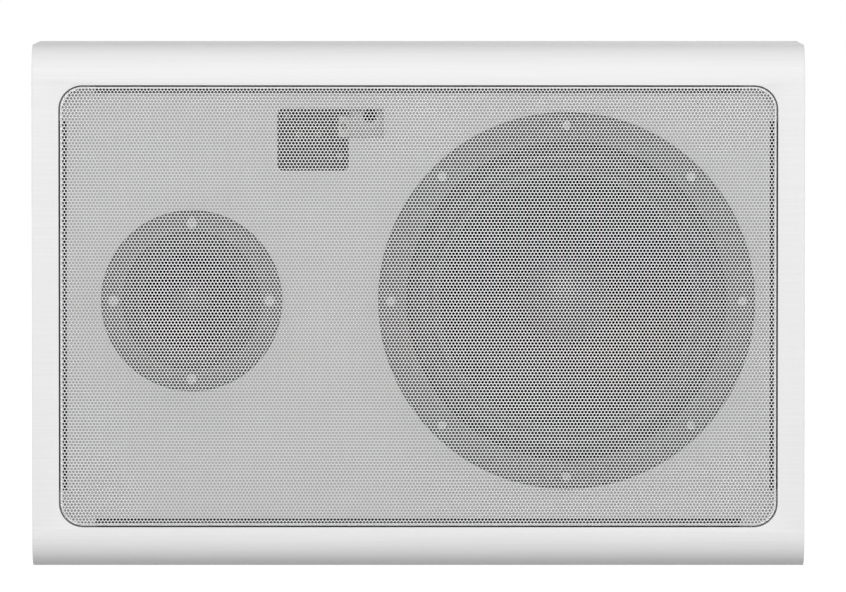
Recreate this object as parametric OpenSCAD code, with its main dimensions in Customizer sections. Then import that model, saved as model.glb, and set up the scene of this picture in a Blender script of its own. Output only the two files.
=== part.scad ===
/* [Cabinet] */
// Overall width of the cabinet
body_w = 448; // [436:1:560]
// Overall height of the cabinet
body_h = 303; // [290:1:380]
// Overall depth from the wall to the front
body_d = 130; // [125:1:180]
// Wall thickness of the extruded sleeve
wall_t = 2; // [1.5:0.1:3]
// Radius of the sleeve's upper and lower front edges
edge_r = 20; // [14:0.5:26]
// Thickness of the two end caps
cap_t = 1.5; // [1:0.1:3]
// Outer radius of the screw ports inside the sleeve
port_r = 3.8; // [3.4:0.1:5]
// Radius of the hole in a screw port
port_bore_r = 1.65; // [1.3:0.05:2]
// Thickness of the rails that hold the two panels
rail_t = 2; // [1.5:0.1:3]
// How far a rail overlaps the panel that it holds
rail_grip = 5; // [3:0.5:7]
// Gap between a panel and the sleeve around it
panel_gap = 0.3; // [0.1:0.05:0.6]

/* [Front opening and grille] */
// Plain border at the left and the right of the opening
side_border = 15.5; // [12:0.5:21]
// Flat margin between the opening and the sleeve's curved edges
flat_rim = 3.25; // [0.25:0.25:6]
// Corner radius of the opening
opening_r = 14; // [8:0.5:20]
// Gap all round between the grille and the opening
grille_gap = 0.9; // [0.6:0.1:1.4]
// Thickness of the perforated sheet
grille_t = 1; // [0.7:0.1:1.4]
// How far the face of the grille lies behind the front
grille_inset = 1; // [0.4:0.1:1.6]
// Depth of the drawn lip all round the grille
lip_depth = 5; // [3:0.5:7]
// Depth of the tongues along the straight sides of the grille
tongue_depth = 14.5; // [12:0.5:15]
// Length of each corner of the opening that has no groove
corner_free = 21; // [18:1:40]
// Pitch of the modelled holes, a coarse step of the real 2 mm pitch
hole_pitch = 15; // [14:0.5:30]
// Diameter of the modelled holes, with the real sheet's open area
hole_d = 10.3; // [6:0.1:11.5]
// Plain margin between the lip and the nearest modelled hole
hole_margin = 2; // [1:0.5:10]

/* [Baffle] */
// Distance from the front of the cabinet to the baffle
baffle_back = 10; // [9:0.5:14]
// Thickness of the baffle
baffle_t = 15; // [14:0.5:22]
// Width of the grooves that take the grille's tongues
groove_w = 4.5; // [4:0.1:6]
// Depth of the grooves
groove_d = 7; // [6:0.5:8]
// Side gap between a tongue and the rubber strip in its groove
strip_gap = 0.3; // [0.2:0.05:0.5]
// Height of the two driver axes above the middle of the cabinet
axis_z = 3; // [-3:0.5:5]
// Gap between a driver's flange and its rebate in the baffle
rebate_gap = 0.3; // [0.2:0.05:0.6]

/* [Woofer] */
// Distance between the woofer's flange and the groove beside it
woofer_side = 8.75; // [6.75:0.25:12.75]
// Outer radius of the woofer's flange
woofer_flange_r = 109.25; // [107:0.25:111]
// How far the woofer's flange stands out of the baffle
woofer_proud = 2.5; // [1.5:0.1:3]
// Depth of the woofer's rebate in the baffle
woofer_rebate = 2.5; // [2:0.1:4]
// Inner radius of the woofer's flange
woofer_ring_r = 93; // [92:0.25:95]
// Radius of the crest of the woofer's surround
woofer_crest_r = 83; // [82:0.25:84]
// Half width of the woofer's surround roll
woofer_roll_r = 5.5; // [4:0.1:6]
// Radius of the woofer's dust cap
woofer_cap_r = 25; // [22:0.5:32]
// Depth of the woofer's basket behind the baffle's face
woofer_depth = 50; // [46:0.5:54]
// Radius of the woofer's screw circle
woofer_screw_r = 102; // [100:0.25:103]
// Number of the woofer's screws
woofer_screws_n = 8; // [4:1:12]
// Radius of the woofer's voice coil former
woofer_coil_r = 19; // [16:0.5:21]
// Radius of the woofer's magnet
woofer_magnet_r = 55; // [50:0.5:60]

/* [Midrange driver] */
// Distance between the midrange driver's flange and the groove beside it
mid_side = 19.9; // [15.5:0.2:23.5]
// Outer radius of the midrange driver's flange
mid_flange_r = 52.5; // [51:0.25:53]
// How far the midrange driver's flange stands out of the baffle
mid_proud = 2; // [1:0.1:3]
// Depth of the midrange driver's rebate in the baffle
mid_rebate = 2; // [1.5:0.1:3]
// Inner radius of the midrange driver's flange
mid_ring_r = 40.6; // [40:0.1:41.2]
// Radius of the crest of the midrange surround
mid_crest_r = 34.2; // [33.8:0.1:35]
// Half width of the midrange surround roll
mid_roll_r = 2.9; // [2:0.1:3.2]
// Radius of the midrange dust cap
mid_cap_r = 11.5; // [11:0.5:14]
// Depth of the midrange basket behind the baffle's face
mid_depth = 22; // [21:0.5:24]
// Radius of the midrange driver's screw circle
mid_screw_r = 45.15; // [44.5:0.05:46]
// Number of the midrange driver's screws
mid_screws_n = 4; // [3:1:8]
// Radius of the midrange voice coil former
mid_coil_r = 9.6; // [8:0.2:10]
// Radius of the midrange magnet
mid_magnet_r = 30; // [28:0.5:34]
// Inner radius of the sealed chamber behind the midrange driver
chamber_r = 49; // [47:0.5:50]
// Depth of the sealed chamber behind the baffle
chamber_depth = 48; // [44:1:60]
// Wall thickness of the sealed chamber
chamber_t = 2.5; // [2:0.1:3]

/* [Terminal tray] */
// Width of the terminal pocket
pocket_w = 41.6; // [40:0.2:46]
// Height of the terminal pocket
pocket_h = 36.2; // [34:0.2:38]
// Corner radius of the terminal pocket
pocket_r = 3.3; // [2:0.1:5]
// Middle of the pocket, to the left of the middle of the cabinet
pocket_x = 61.1; // [60:0.1:64]
// Distance from the opening's upper edge down to the pocket
pocket_drop = 13.55; // [11.25:0.1:16.05]
// Depth of the pocket from the baffle's face to its floor
pocket_d = 18; // [17:0.5:24]
// Wall thickness of the moulded tray
tray_t = 1.8; // [1.4:0.1:2.2]
// Rise of the sloping lower wall from its front edge to the floor
slope_rise = 2.9; // [1:0.1:3.4]
// Width of the shallow cable recess beside the pocket
recess_w = 20.3; // [18:0.1:22]
// Height of the shallow cable recess
recess_h = 17.6; // [16:0.1:19]
// Depth of the shallow cable recess
recess_d = 8; // [6:0.5:9]
// Inner radius of the tube that brings the cable from the wall
tube_r = 4.1; // [3.6:0.1:4.3]
// Wall thickness of the cable tube
tube_t = 1.5; // [1.2:0.1:2]
// Slope of the cable tube, down towards the wall
tube_slope = 12; // [9:0.5:13]

/* [Rear panel and hangers] */
// Thickness of the rear panel
rear_t = 12; // [11:0.5:15]
// Distance between the two keyhole plates
hanger_span = 280; // [240:5:320]
// Distance from the top of the cabinet down to the middle of the keyhole plates
hanger_drop = 58; // [50:1:70]
// Width of the round end of a keyhole
keyhole_d = 10; // [9:0.5:11]
// Width of the narrow end of a keyhole
keyslot_w = 5; // [4:0.5:6]
// Thickness of a keyhole plate
hanger_t = 1.5; // [1:0.1:2]

/* [Hidden] */

$fn = 64;
round_big = 96;
round_mid = 48;
round_small = 24;
round_hole = 20;
cut = 1;
sleeve_len = body_w - 2 * cap_t;
panel_w = sleeve_len - 2 * panel_gap;
face_y = -body_d;
bend_y = face_y + edge_r;
bend_z = body_h / 2 - edge_r;
inner_z = body_h / 2 - wall_t;

// Baffle and the rails round it
baffle_y = face_y + baffle_back;
baffle_back_y = baffle_y + baffle_t;
front_reach = max(edge_r - baffle_back, 0);
curve_z = bend_z + sqrt(pow(edge_r - wall_t, 2) - pow(front_reach, 2));
baffle_half_h = curve_z - 1;
baffle_rail_z = baffle_half_h - rail_grip;

// Rear panel, with a rebated edge behind the sleeve's rear lips
rear_half_h = inner_z - panel_gap;
rear_rail_z = rear_half_h - rail_grip;
rear_face_half_h = rear_rail_z - panel_gap;
rear_y = -rear_t;
port_bite = 0.6;
port_front_y = baffle_back_y + panel_gap + rail_t + port_r - port_bite;
port_rear_y = rear_y - panel_gap - rail_t - port_r + port_bite;
port_z = inner_z - port_r + port_bite;
port_slit = 1.6;

// Opening and grille
opening_w = body_w - 2 * side_border;
opening_h = body_h - 2 * (edge_r + flat_rim);
grille_w = opening_w - 2 * grille_gap;
grille_h = opening_h - 2 * grille_gap;
grille_r = opening_r - grille_gap;
grille_y = face_y + grille_inset;
groove_len_w = opening_w - 2 * corner_free;
groove_len_h = opening_h - 2 * corner_free;
tongue_gap = 1;
strip_t = groove_w - grille_gap - grille_t - strip_gap;
hole_row = hole_pitch * sqrt(3) / 2;

// Screws
screw_gap = 0.05;
wood_r = 2;
small_r = 1.5;
bolt_gap = 0.3;
socket_d = 1.2;
cap_screw_r = port_bore_r - screw_gap;
cap_screw_len = 12;
cap_head_r = cap_screw_r + 1.4;
pilot_len = 12;
chamber_pilot_len = 8;
chamber_screw_n = 4;
tray_screw_r = 0.9;
tray_screw_head_r = 1.6;
tray_screw_head_h = 1.2;
tray_screw_len = 8;
tray_screw_in = 6;
small_head_r = 2.8;
small_head_h = 1.8;

// Terminal tray, cable recess and cable tube
pocket_cx = -pocket_x;
pocket_z = opening_h / 2 - pocket_drop - pocket_h / 2;
tray_gap = 0.1;
recess_cx = pocket_cx + pocket_w / 2 + recess_w / 2;
recess_cz = pocket_z + pocket_h / 2 - recess_h / 2;
tube_side = 4;
tube_x = recess_cx + recess_w / 2 - tube_r - tube_side;
tube_z = recess_cz + recess_h / 2 - tube_r - tray_gap;
tube_or = tube_r + tube_t;
tube_start = 3.2;
tube_len = (body_d - baffle_back - recess_d) / cos(tube_slope);
tube_end_z = tube_z - tube_len * sin(tube_slope);
tray_back = pocket_d + tray_t;
tray_rim = 4;
tray_rim_t = 2;
ledge_w = 7;
clamp_w = 6;
clamp_h = 12.6;
clamp_t = 2.4;
clamp_x = pocket_cx + pocket_w / 2 - clamp_w / 2;
clamp_z = recess_cz - 1.9;
clamp_screw_r = 1;
clamp_screw_len = 6;
clamp_slot_r = 2.2;
clamp_slot_dz = 4;
clamp_slot_w = 1.4;

// Terminal block on the pocket's floor
block_w = 26;
block_h = 13;
block_d = 9;
block_x = pocket_cx - 2.6;
block_z = pocket_z + 2.8;
terminal_dx = 5.8;
terminal_r = 3;
terminal_sink = 3;
wire_hole_r = 1.3;
wire_hole_w = 3.6;
lead_r = 0.9;
lead_dz = 4.6;

// Crossover board behind the tray
spacer_len = 5;
spacer_r = 3.2;
board_t = 1.6;
board_w = 62;
board_h = 52;
board_x = pocket_cx - 8;
board_z = pocket_z - 1;
board_y = tray_back + spacer_len;
part_y = board_y + board_t;
nut_t = 2.4;
nut_r = 3.1;
fix_dx = pocket_w / 2 - 5.2;
fix_dz_top = pocket_h / 2 - 5;
fix_dz_low = pocket_h / 2 - 7.9;
bobbin_wall = 1.2;
bobbin_cheek = 1;
large_coil_at = [-14, -8];
large_coil_r = [6, 15];
large_coil_h = 16;
small_coil_at = [16, 14];
small_coil_r = [4, 9];
small_coil_h = 12;
capacitor_r = 5;
capacitor_len = 26;
capacitor_dx = 16;
capacitor_dz = [-0.9, -19.4];
resistor_at = [-20, 17.5];
resistor_size = [9, 16, 9];

// Keyhole plates, the pockets behind them and the wadding
hanger_z = body_h / 2 - hanger_drop;
hanger_w = 60;
hanger_h = 22;
hanger_r = 3;
hanger_gap = 0.2;
hanger_screw_dx = 23;
hanger_screw_len = 9;
hanger_head_r = 2.9;
key_pocket_w = 34;
key_pocket_h = 16;
key_pocket_d = 8;
key_pocket_r = 4;
key_rise = 5;
key_shift = 0.5;
pad_t = 13;
pad_r = 12;
pad_side = 35;
pad_low = 23 - body_h / 2;
pad_top = tube_end_z - tube_or - 4;

// Woofer, measured backward from the baffle's face
woofer_cx = opening_w / 2 - groove_w - woofer_side - woofer_flange_r;
woofer_bore_r = woofer_ring_r + 0.7;
woofer_shelf = 1.5;
woofer_shelf_r = woofer_crest_r + woofer_roll_r - 1.5;
woofer_land = 4;
woofer_edge_t = 1;
woofer_cone_r = woofer_crest_r - woofer_roll_r - 0.5;
woofer_cone_end = woofer_depth - 13;
woofer_spider_w = woofer_depth - 8;
woofer_hub_t = 2;
woofer_plate_t = 6;
woofer_magnet_t = 18;
woofer_yoke_t = 6;
woofer_wall = 2;
woofer_hub_r = woofer_magnet_r + 3;
woofer_rear = woofer_depth + woofer_plate_t + woofer_magnet_t;
former_t = 0.4;
coil_t = 0.8;
gap_t = 0.5;
hub_gap = 0.8;
edge_gap = 0.1;
gasket_t = 1.6;
woofer_neck_r = woofer_coil_r + former_t;
woofer_bore = woofer_neck_r + coil_t + gap_t;
woofer_lip_r = woofer_crest_r - woofer_roll_r - woofer_land;
woofer_cone_t = 1;
woofer_dome_t = 0.8;
woofer_dome_rise = 9;
woofer_ledge_out = woofer_hub_r - woofer_wall - 0.3;
woofer_spider_t = 0.8;
woofer_swing = 1.2;
woofer_waves = 4;
woofer_spokes = 6;
woofer_window_a = 19;
woofer_head_r = 3.3;
woofer_vent_r = 5;
woofer_tag_size = [16, 5];

// Midrange driver, measured in the same way
mid_cx = groove_w + mid_side + mid_flange_r - opening_w / 2;
mid_bore_r = mid_ring_r + 0.4;
mid_shelf = 1;
mid_shelf_r = mid_crest_r + mid_roll_r - 0.9;
mid_land = 2.6;
mid_edge_t = 0.7;
mid_cone_r = mid_crest_r - mid_roll_r - 0.3;
mid_cone_end = mid_depth - 8.5;
mid_spider_w = mid_depth - 4.5;
mid_hub_t = 1.6;
mid_plate_t = 4;
mid_magnet_t = 10;
mid_yoke_t = 4;
mid_wall = 1.4;
mid_hub_r = mid_magnet_r + 1;
mid_rear = mid_depth + mid_plate_t + mid_magnet_t;
mid_neck_r = mid_coil_r + former_t;
mid_bore = mid_neck_r + coil_t + gap_t;
mid_lip_r = mid_crest_r - mid_roll_r - mid_land;
mid_cone_t = 0.7;
mid_dome_t = 0.6;
mid_dome_rise = 4.5;
mid_ledge_out = mid_hub_r - mid_wall - 0.3;
mid_spider_t = 0.6;
mid_swing = 0.7;
mid_waves = 3;
mid_spokes = 4;
mid_window_a = 28;
mid_head_r = 3.8;
mid_vent_r = 2;
mid_tag_size = [11, 3];
chamber_flange_r = chamber_r + chamber_t + 8;
chamber_flange_t = 3;
chamber_screw_r = chamber_r + chamber_t + 4;
chamber_end = baffle_t + chamber_depth;
chamber_bevel = 4;
driver_head_h = 2.2;

// Leads to the drivers, from pads on the board to the tags on the frames
flex_r = 1.2;
gland_gap = 0.2;
tag_t = 2.5;
tag_reach = 6;
tag_w = 0.8;
tag_h = 3;
woofer_tag_w = woofer_depth - 3;
mid_tag_w = mid_depth - 1.55;
gland_w = baffle_t + 20;
woofer_pad_x = board_x + board_w / 2 - 3;
woofer_pad_z = board_z + 8;
woofer_lead_a = atan2(woofer_pad_z - axis_z, woofer_pad_x - woofer_cx);
woofer_lead_r = norm([woofer_pad_z - axis_z, woofer_pad_x - woofer_cx]);
mid_pad_x = board_x + 0.6;
mid_pad_z = board_z - board_h / 2 + 2.6;
mid_lead_a = atan2(mid_pad_z - axis_z, mid_pad_x - mid_cx);
mid_lead_r = norm([mid_pad_z - axis_z, mid_pad_x - mid_cx]);

// A flat outline drawn in X and Z, given depth from y0 back to y1
module slab(y0, y1) {
  translate([0, y1, 0]) rotate([90, 0, 0]) linear_extrude(y1 - y0) children();
}

// The same, measured backward from the baffle's face
module behind_face(w0, w1) {
  slab(baffle_y + w0, baffle_y + w1) children();
}

// A flat outline drawn in Y and Z, run along X and centred
module run_along_x(len) {
  translate([-len / 2, 0, 0]) rotate([90, 0, 90]) linear_extrude(len) children();
}

// Shapes turned about a driver's axis, with +Z leading back into the cabinet
module about(cx, cz) {
  translate([cx, baffle_y, cz]) rotate([-90, 0, 0]) children();
}

module rounded_rect(w, h, r) {
  square([w - 2 * r, h], center = true);
  square([w, h - 2 * r], center = true);
  for (x = [-1, 1], z = [-1, 1])
    translate([x * (w / 2 - r), z * (h / 2 - r)]) circle(r);
}

module ring_2d(r0, r1, w0, w1) {
  translate([r0, w0]) square([r1 - r0, w1 - w0]);
}

module ring(r0, r1, w0, w1) {
  rotate_extrude() ring_2d(r0, r1, w0, w1);
}

// A screw with a pan head and a hexagon socket, its head's seat at z = 0
module pan_screw(shank_r, shank_len, head_r, head_h, socket_r) {
  difference() {
    union() {
      cylinder(r = shank_r, h = shank_len);
      rotate_extrude() polygon([
        [0, 0], [head_r, 0], [head_r, -head_h * 0.5], [head_r * 0.75, -head_h], [0, -head_h]
      ]);
    }
    translate([0, 0, -head_h - cut]) cylinder(r = socket_r, h = head_h * 0.6 + cut, $fn = 6);
  }
}

// A countersunk screw, its flush face at z = 0
module flat_screw(shank_r, shank_len, head_r, socket_r) {
  difference() {
    rotate_extrude() polygon([
      [0, 0], [head_r, 0], [shank_r, head_r - shank_r], [shank_r, shank_len], [0, shank_len]
    ]);
    translate([0, 0, -cut]) cylinder(r = socket_r, h = socket_d + cut, $fn = 6);
  }
}

module flat_hole(shank_r, head_r, depth) {
  rotate_extrude() polygon([
    [0, -cut], [head_r + cut, -cut], [shank_r, head_r - shank_r], [shank_r, depth], [0, depth]
  ]);
}

// Section of the sleeve's outer skin, moved inward by the inset and open at the wall
module sleeve_outline(inset) {
  half = body_h / 2 - inset;
  translate([bend_y, -half]) square([-bend_y + inset, 2 * half]);
  translate([face_y + inset, -bend_z]) square([edge_r - inset, 2 * bend_z]);
  for (side = [-1, 1]) translate([bend_y, side * bend_z]) circle(edge_r - inset);
}

// A pair of rails, above and below, whose inner edges lie at reach
module rail_pair(y0, y1, reach) {
  for (z = [-body_h / 2, reach])
    translate([y0, z]) square([y1 - y0, body_h / 2 - reach]);
}

module port_places() {
  for (y = [port_front_y, port_rear_y], side = [-1, 1]) translate([y, side * port_z]) children();
}

module sleeve_section() {
  difference() {
    union() {
      difference() {
        sleeve_outline(0);
        sleeve_outline(wall_t);
      }
      intersection() {
        sleeve_outline(wall_t / 2);
        union() {
          rail_pair(baffle_y - panel_gap - rail_t, baffle_y - panel_gap, baffle_rail_z);
          rail_pair(baffle_back_y + panel_gap, baffle_back_y + panel_gap + rail_t, baffle_rail_z);
          rail_pair(rear_y - panel_gap - rail_t, rear_y - panel_gap, rear_rail_z);
        }
      }
      rail_pair(-rail_t, 0, rear_rail_z);
      port_places() circle(port_r, $fn = round_mid);
    }
    port_places() circle(port_bore_r, $fn = round_mid);
    for (y = [port_front_y, port_rear_y])
      translate([y - port_slit / 2, -port_z]) square([port_slit, 2 * port_z]);
  }
}

module sleeve() {
  color("whitesmoke") difference() {
    run_along_x(sleeve_len) sleeve_section();
    slab(face_y - cut, face_y + wall_t + cut) rounded_rect(opening_w, opening_h, opening_r);
  }
}

// Places of the four screws in one end cap, drawn at x = 0
module cap_screw_places() {
  for (y = [port_front_y, port_rear_y], z = [-port_z, port_z]) translate([0, y, z]) children();
}

// An end cap with its outer face towards +X
module end_cap() {
  difference() {
    translate([sleeve_len / 2, 0, 0]) rotate([90, 0, 90]) linear_extrude(cap_t) intersection() {
      sleeve_outline(0);
      translate([face_y, -body_h / 2]) square([body_d, body_h]);
    }
    translate([body_w / 2, 0, 0]) cap_screw_places() rotate([0, -90, 0])
      flat_hole(cap_screw_r + screw_gap, cap_head_r + screw_gap, cap_t + cut);
  }
}

module end_cap_right() {
  color("whitesmoke") end_cap();
}

module end_cap_left() {
  color("whitesmoke") mirror([1, 0, 0]) end_cap();
}

module end_cap_screws() {
  color("silver") for (side = [0, 1]) mirror([side, 0, 0])
    translate([body_w / 2, 0, 0]) cap_screw_places() rotate([0, -90, 0])
      flat_screw(cap_screw_r, cap_screw_len, cap_head_r, 1);
}

// The four grooves, or what lies in them, as strips set in from the opening's edge
module edge_strips(inset, thick, trim) {
  for (side = [-1, 1]) {
    translate([side * (opening_w / 2 - inset - thick / 2), 0])
      square([thick, groove_len_h - 2 * trim], center = true);
    translate([0, side * (opening_h / 2 - inset - thick / 2)])
      square([groove_len_w - 2 * trim, thick], center = true);
  }
}

module screw_circle(n, r) {
  for (i = [0 : n - 1]) rotate([0, 0, 90 + i * 360 / n]) translate([r, 0, 0]) children();
}

module tray_outline(grow) {
  translate([pocket_cx, pocket_z])
    rounded_rect(pocket_w + 2 * grow, pocket_h + 2 * grow, pocket_r + grow);
}

module tray_screw_places() {
  reach_x = pocket_w / 2 - tray_screw_in;
  reach_z = (pocket_h + tray_rim) / 2;
  for (x = [-reach_x, reach_x], z = [-reach_z, reach_z])
    translate([pocket_cx + x, baffle_back_y + tray_rim_t, pocket_z + z]) rotate([90, 0, 0])
      children();
}

// A driver's bore, the rebate for its flange and the pilot holes of its screws
module driver_cut(bore_r, flange_r, rebate, screws_n, circle_r) {
  cylinder(r = bore_r, h = baffle_t + cut, $fn = round_big);
  translate([0, 0, -cut]) cylinder(r = flange_r + rebate_gap, h = rebate + cut, $fn = round_big);
  screw_circle(screws_n, circle_r) cylinder(r = wood_r + screw_gap, h = pilot_len, $fn = round_small);
}

// Along the cable tube's axis, from a distance behind the floor of the cable recess
module along_tube(s) {
  translate([tube_x, baffle_y + recess_d, tube_z]) rotate([-90 - tube_slope, 0, 0])
    translate([0, 0, s]) children();
}

module baffle() {
  color("whitesmoke") difference() {
    slab(baffle_y, baffle_back_y) square([panel_w, 2 * baffle_half_h], center = true);
    slab(baffle_y - cut, baffle_y + groove_d) edge_strips(0, groove_w, 0);
    about(woofer_cx, axis_z)
      driver_cut(woofer_bore_r, woofer_flange_r, woofer_rebate, woofer_screws_n, woofer_screw_r);
    about(mid_cx, axis_z) {
      driver_cut(mid_bore_r, mid_flange_r, mid_rebate, mid_screws_n, mid_screw_r);
      translate([0, 0, baffle_t - chamber_pilot_len]) rotate([0, 0, 45])
        screw_circle(chamber_screw_n, chamber_screw_r)
          cylinder(r = small_r + screw_gap, h = chamber_pilot_len + cut, $fn = round_small);
    }
    behind_face(-cut, baffle_t + cut) tray_outline(0);
    behind_face(-cut, recess_d) translate([recess_cx - cut / 2, recess_cz])
      square([recess_w + cut, recess_h], center = true);
    along_tube(-2 * cut) cylinder(r = tube_r, h = baffle_t, $fn = round_mid);
    along_tube(tube_start) cylinder(r = tube_or + screw_gap, h = baffle_t, $fn = round_mid);
    tray_screw_places()
      cylinder(r = tray_screw_r + screw_gap, h = tray_screw_len + screw_gap, $fn = round_small);
  }
}

module hanger_places() {
  for (side = [-1, 1]) translate([side * hanger_span / 2, 0, hanger_z]) children();
}

module hanger_screw_places() {
  for (side = [-1, 1]) translate([side * hanger_screw_dx, 0, 0]) rotate([90, 0, 0]) children();
}

module rear_panel() {
  color("dimgray") difference() {
    union() {
      slab(rear_y, -rail_t - panel_gap) square([panel_w, 2 * rear_half_h], center = true);
      slab(rear_y, 0) square([panel_w, 2 * rear_face_half_h], center = true);
    }
    along_tube(tube_len - 2 * rear_t)
      cylinder(r = tube_or + screw_gap, h = 3 * rear_t, $fn = round_mid);
    hanger_places() {
      slab(-hanger_t, cut)
        rounded_rect(hanger_w + 2 * hanger_gap, hanger_h + 2 * hanger_gap, hanger_r);
      slab(-hanger_t - key_pocket_d, cut)
        rounded_rect(key_pocket_w, key_pocket_h, key_pocket_r);
      hanger_screw_places() cylinder(r = small_r + screw_gap, h = hanger_screw_len, $fn = round_small);
    }
  }
}

module hanger_plate() {
  difference() {
    slab(-hanger_t, 0) rounded_rect(hanger_w, hanger_h, hanger_r);
    slab(-hanger_t - cut, cut) {
      translate([0, -key_rise / 2 - key_shift]) circle(d = keyhole_d, $fn = round_mid);
      translate([0, key_rise]) circle(d = keyslot_w, $fn = round_mid);
      translate([-keyslot_w / 2, -key_rise / 2]) square([keyslot_w, key_rise * 1.5]);
    }
    hanger_screw_places() flat_hole(small_r + screw_gap, hanger_head_r + screw_gap, hanger_t + cut);
  }
}

module hanger_plate_left() {
  color("silver") translate([-hanger_span / 2, 0, hanger_z]) hanger_plate();
}

module hanger_plate_right() {
  color("silver") translate([hanger_span / 2, 0, hanger_z]) hanger_plate();
}

module hanger_screws() {
  color("gray") hanger_places() hanger_screw_places()
    flat_screw(small_r, hanger_screw_len - 0.5, hanger_head_r, 1);
}

module cable_tube() {
  color("darkslategray") intersection() {
    along_tube(tube_start) ring(tube_r, tube_or, 0, tube_len);
    slab(face_y, 0) square([panel_w, body_h], center = true);
  }
}

// Wadding that lines the rear panel below the cable tube
module damping_pad() {
  color("gainsboro") slab(rear_y - pad_t, rear_y) translate([0, (pad_low + pad_top) / 2])
    rounded_rect(panel_w - 2 * pad_side, pad_top - pad_low, pad_r);
}

module grille_holes() {
  half_w = grille_w / 2 - grille_t - hole_margin - hole_d / 2;
  half_h = grille_h / 2 - grille_t - hole_margin - hole_d / 2;
  rows = floor(half_h / hole_row);
  for (j = [-rows : rows]) {
    shift = abs(j) % 2 == 1 ? hole_pitch / 2 : 0;
    count = floor((half_w - shift) / hole_pitch);
    for (i = [-count - (shift > 0 ? 1 : 0) : count])
      translate([i * hole_pitch + shift, j * hole_row]) circle(d = hole_d, $fn = round_hole);
  }
}

// Face, lip and tongues, folded from one perforated sheet
module grille() {
  color("white") {
    slab(grille_y, grille_y + grille_t) difference() {
      rounded_rect(grille_w, grille_h, grille_r);
      grille_holes();
    }
    slab(grille_y + grille_t, grille_y + lip_depth) difference() {
      rounded_rect(grille_w, grille_h, grille_r);
      rounded_rect(grille_w - 2 * grille_t, grille_h - 2 * grille_t, grille_r - grille_t);
    }
    slab(grille_y + lip_depth, grille_y + tongue_depth)
      edge_strips(grille_gap, grille_t, tongue_gap);
  }
}

module grille_strips() {
  color("black") behind_face(0, groove_d)
    edge_strips(grille_gap + grille_t + strip_gap, strip_t, 0);
}

// Terminal tray: a moulded cup with a sloping lower wall, fixed from behind
module input_tray() {
  inner_lo = pocket_z - pocket_h / 2 + tray_t;
  inner_hi = pocket_z + pocket_h / 2 - tray_t;
  color("dimgray") difference() {
    union() {
      difference() {
        behind_face(0, tray_back) tray_outline(-tray_gap);
        translate([pocket_cx, baffle_y, 0]) run_along_x(pocket_w - 2 * tray_t) polygon([
          [-cut, inner_lo], [0, inner_lo], [pocket_d, inner_lo + slope_rise],
          [pocket_d, inner_hi], [-cut, inner_hi]
        ]);
      }
      behind_face(baffle_t, baffle_t + tray_rim_t) difference() {
        tray_outline(tray_rim);
        tray_outline(-tray_gap - tray_t / 2);
      }
      behind_face(recess_d, pocket_d)
        translate([pocket_cx + pocket_w / 2 - tray_t - ledge_w / 2, clamp_z])
          square([ledge_w, clamp_h], center = true);
    }
    behind_face(-cut, recess_d) translate([pocket_cx + pocket_w / 2, clamp_z])
      square([2 * tray_t + cut, clamp_h], center = true);
    board_screw_places(pocket_d - cut)
      cylinder(r = small_r + bolt_gap, h = tray_t + 2 * cut, $fn = round_small);
    input_lead_places(pocket_d - cut)
      cylinder(r = lead_r + bolt_gap, h = tray_t + 2 * cut, $fn = round_small);
    tray_screw_places() translate([0, 0, -cut])
      cylinder(r = tray_screw_r + bolt_gap, h = tray_rim_t + 2 * cut, $fn = round_small);
    clamp_screw_place(recess_d - cut)
      cylinder(r = clamp_screw_r + screw_gap, h = clamp_screw_len + cut, $fn = round_small);
  }
}

module tray_fixing_screws() {
  color("gray") tray_screw_places()
    pan_screw(tray_screw_r, tray_screw_len, tray_screw_head_r, tray_screw_head_h, 0.6);
}

// Screws through the tray's floor that carry the crossover board
module board_screw_places(w) {
  translate([pocket_cx - fix_dx, baffle_y + w, pocket_z + fix_dz_top]) rotate([-90, 0, 0])
    children();
  translate([pocket_cx + fix_dx, baffle_y + w, pocket_z - fix_dz_low]) rotate([-90, 0, 0])
    children();
}

module board_screws() {
  color("silver") board_screw_places(pocket_d)
    pan_screw(small_r, tray_t + spacer_len + board_t + nut_t + 1, small_head_r, small_head_h, 1.2);
}

module board_spacers() {
  color("whitesmoke") board_screw_places(tray_back)
    ring(small_r + bolt_gap, spacer_r, 0, spacer_len);
}

module board_nuts() {
  color("silver") board_screw_places(part_y) difference() {
    cylinder(r = nut_r, h = nut_t, $fn = 6);
    translate([0, 0, -cut]) cylinder(r = small_r + screw_gap, h = nut_t + 2 * cut, $fn = round_small);
  }
}

// Places of the two terminals at a height above the block's middle
module terminal_places(w, rise = 0) {
  for (side = [-1, 1])
    translate([block_x + side * terminal_dx, baffle_y + w, block_z + rise]) rotate([-90, 0, 0])
      children();
}

module input_lead_places(w) {
  terminal_places(w, -lead_dz) children();
}

module terminal_block() {
  color("black") difference() {
    behind_face(pocket_d - block_d, pocket_d) translate([block_x, block_z])
      square([block_w, block_h], center = true);
    terminal_places(pocket_d - block_d - cut)
      cylinder(r = terminal_r + 0.2, h = terminal_sink + cut, $fn = round_mid);
    terminal_places(pocket_d - block_d)
      cylinder(r = small_r + screw_gap, h = block_d - 1.5, $fn = round_small);
    terminal_places(pocket_d - wire_hole_w, -block_h / 2 - cut) rotate([90, 0, 0])
      cylinder(r = wire_hole_r, h = terminal_sink + cut, $fn = round_small);
  }
}

module terminal_screws() {
  color("gold") terminal_places(pocket_d - block_d + terminal_sink)
    pan_screw(small_r, 4, terminal_r, 2, 1.2);
}

module input_leads() {
  color("firebrick") input_lead_places(pocket_d)
    cylinder(r = lead_r, h = board_y - pocket_d, $fn = round_small);
}

// Cable clamp: a small arched bar on its ledge in the pocket's right side
module clamp_screw_place(w) {
  translate([clamp_x, baffle_y + w, clamp_z]) rotate([-90, 0, 0]) children();
}

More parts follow.
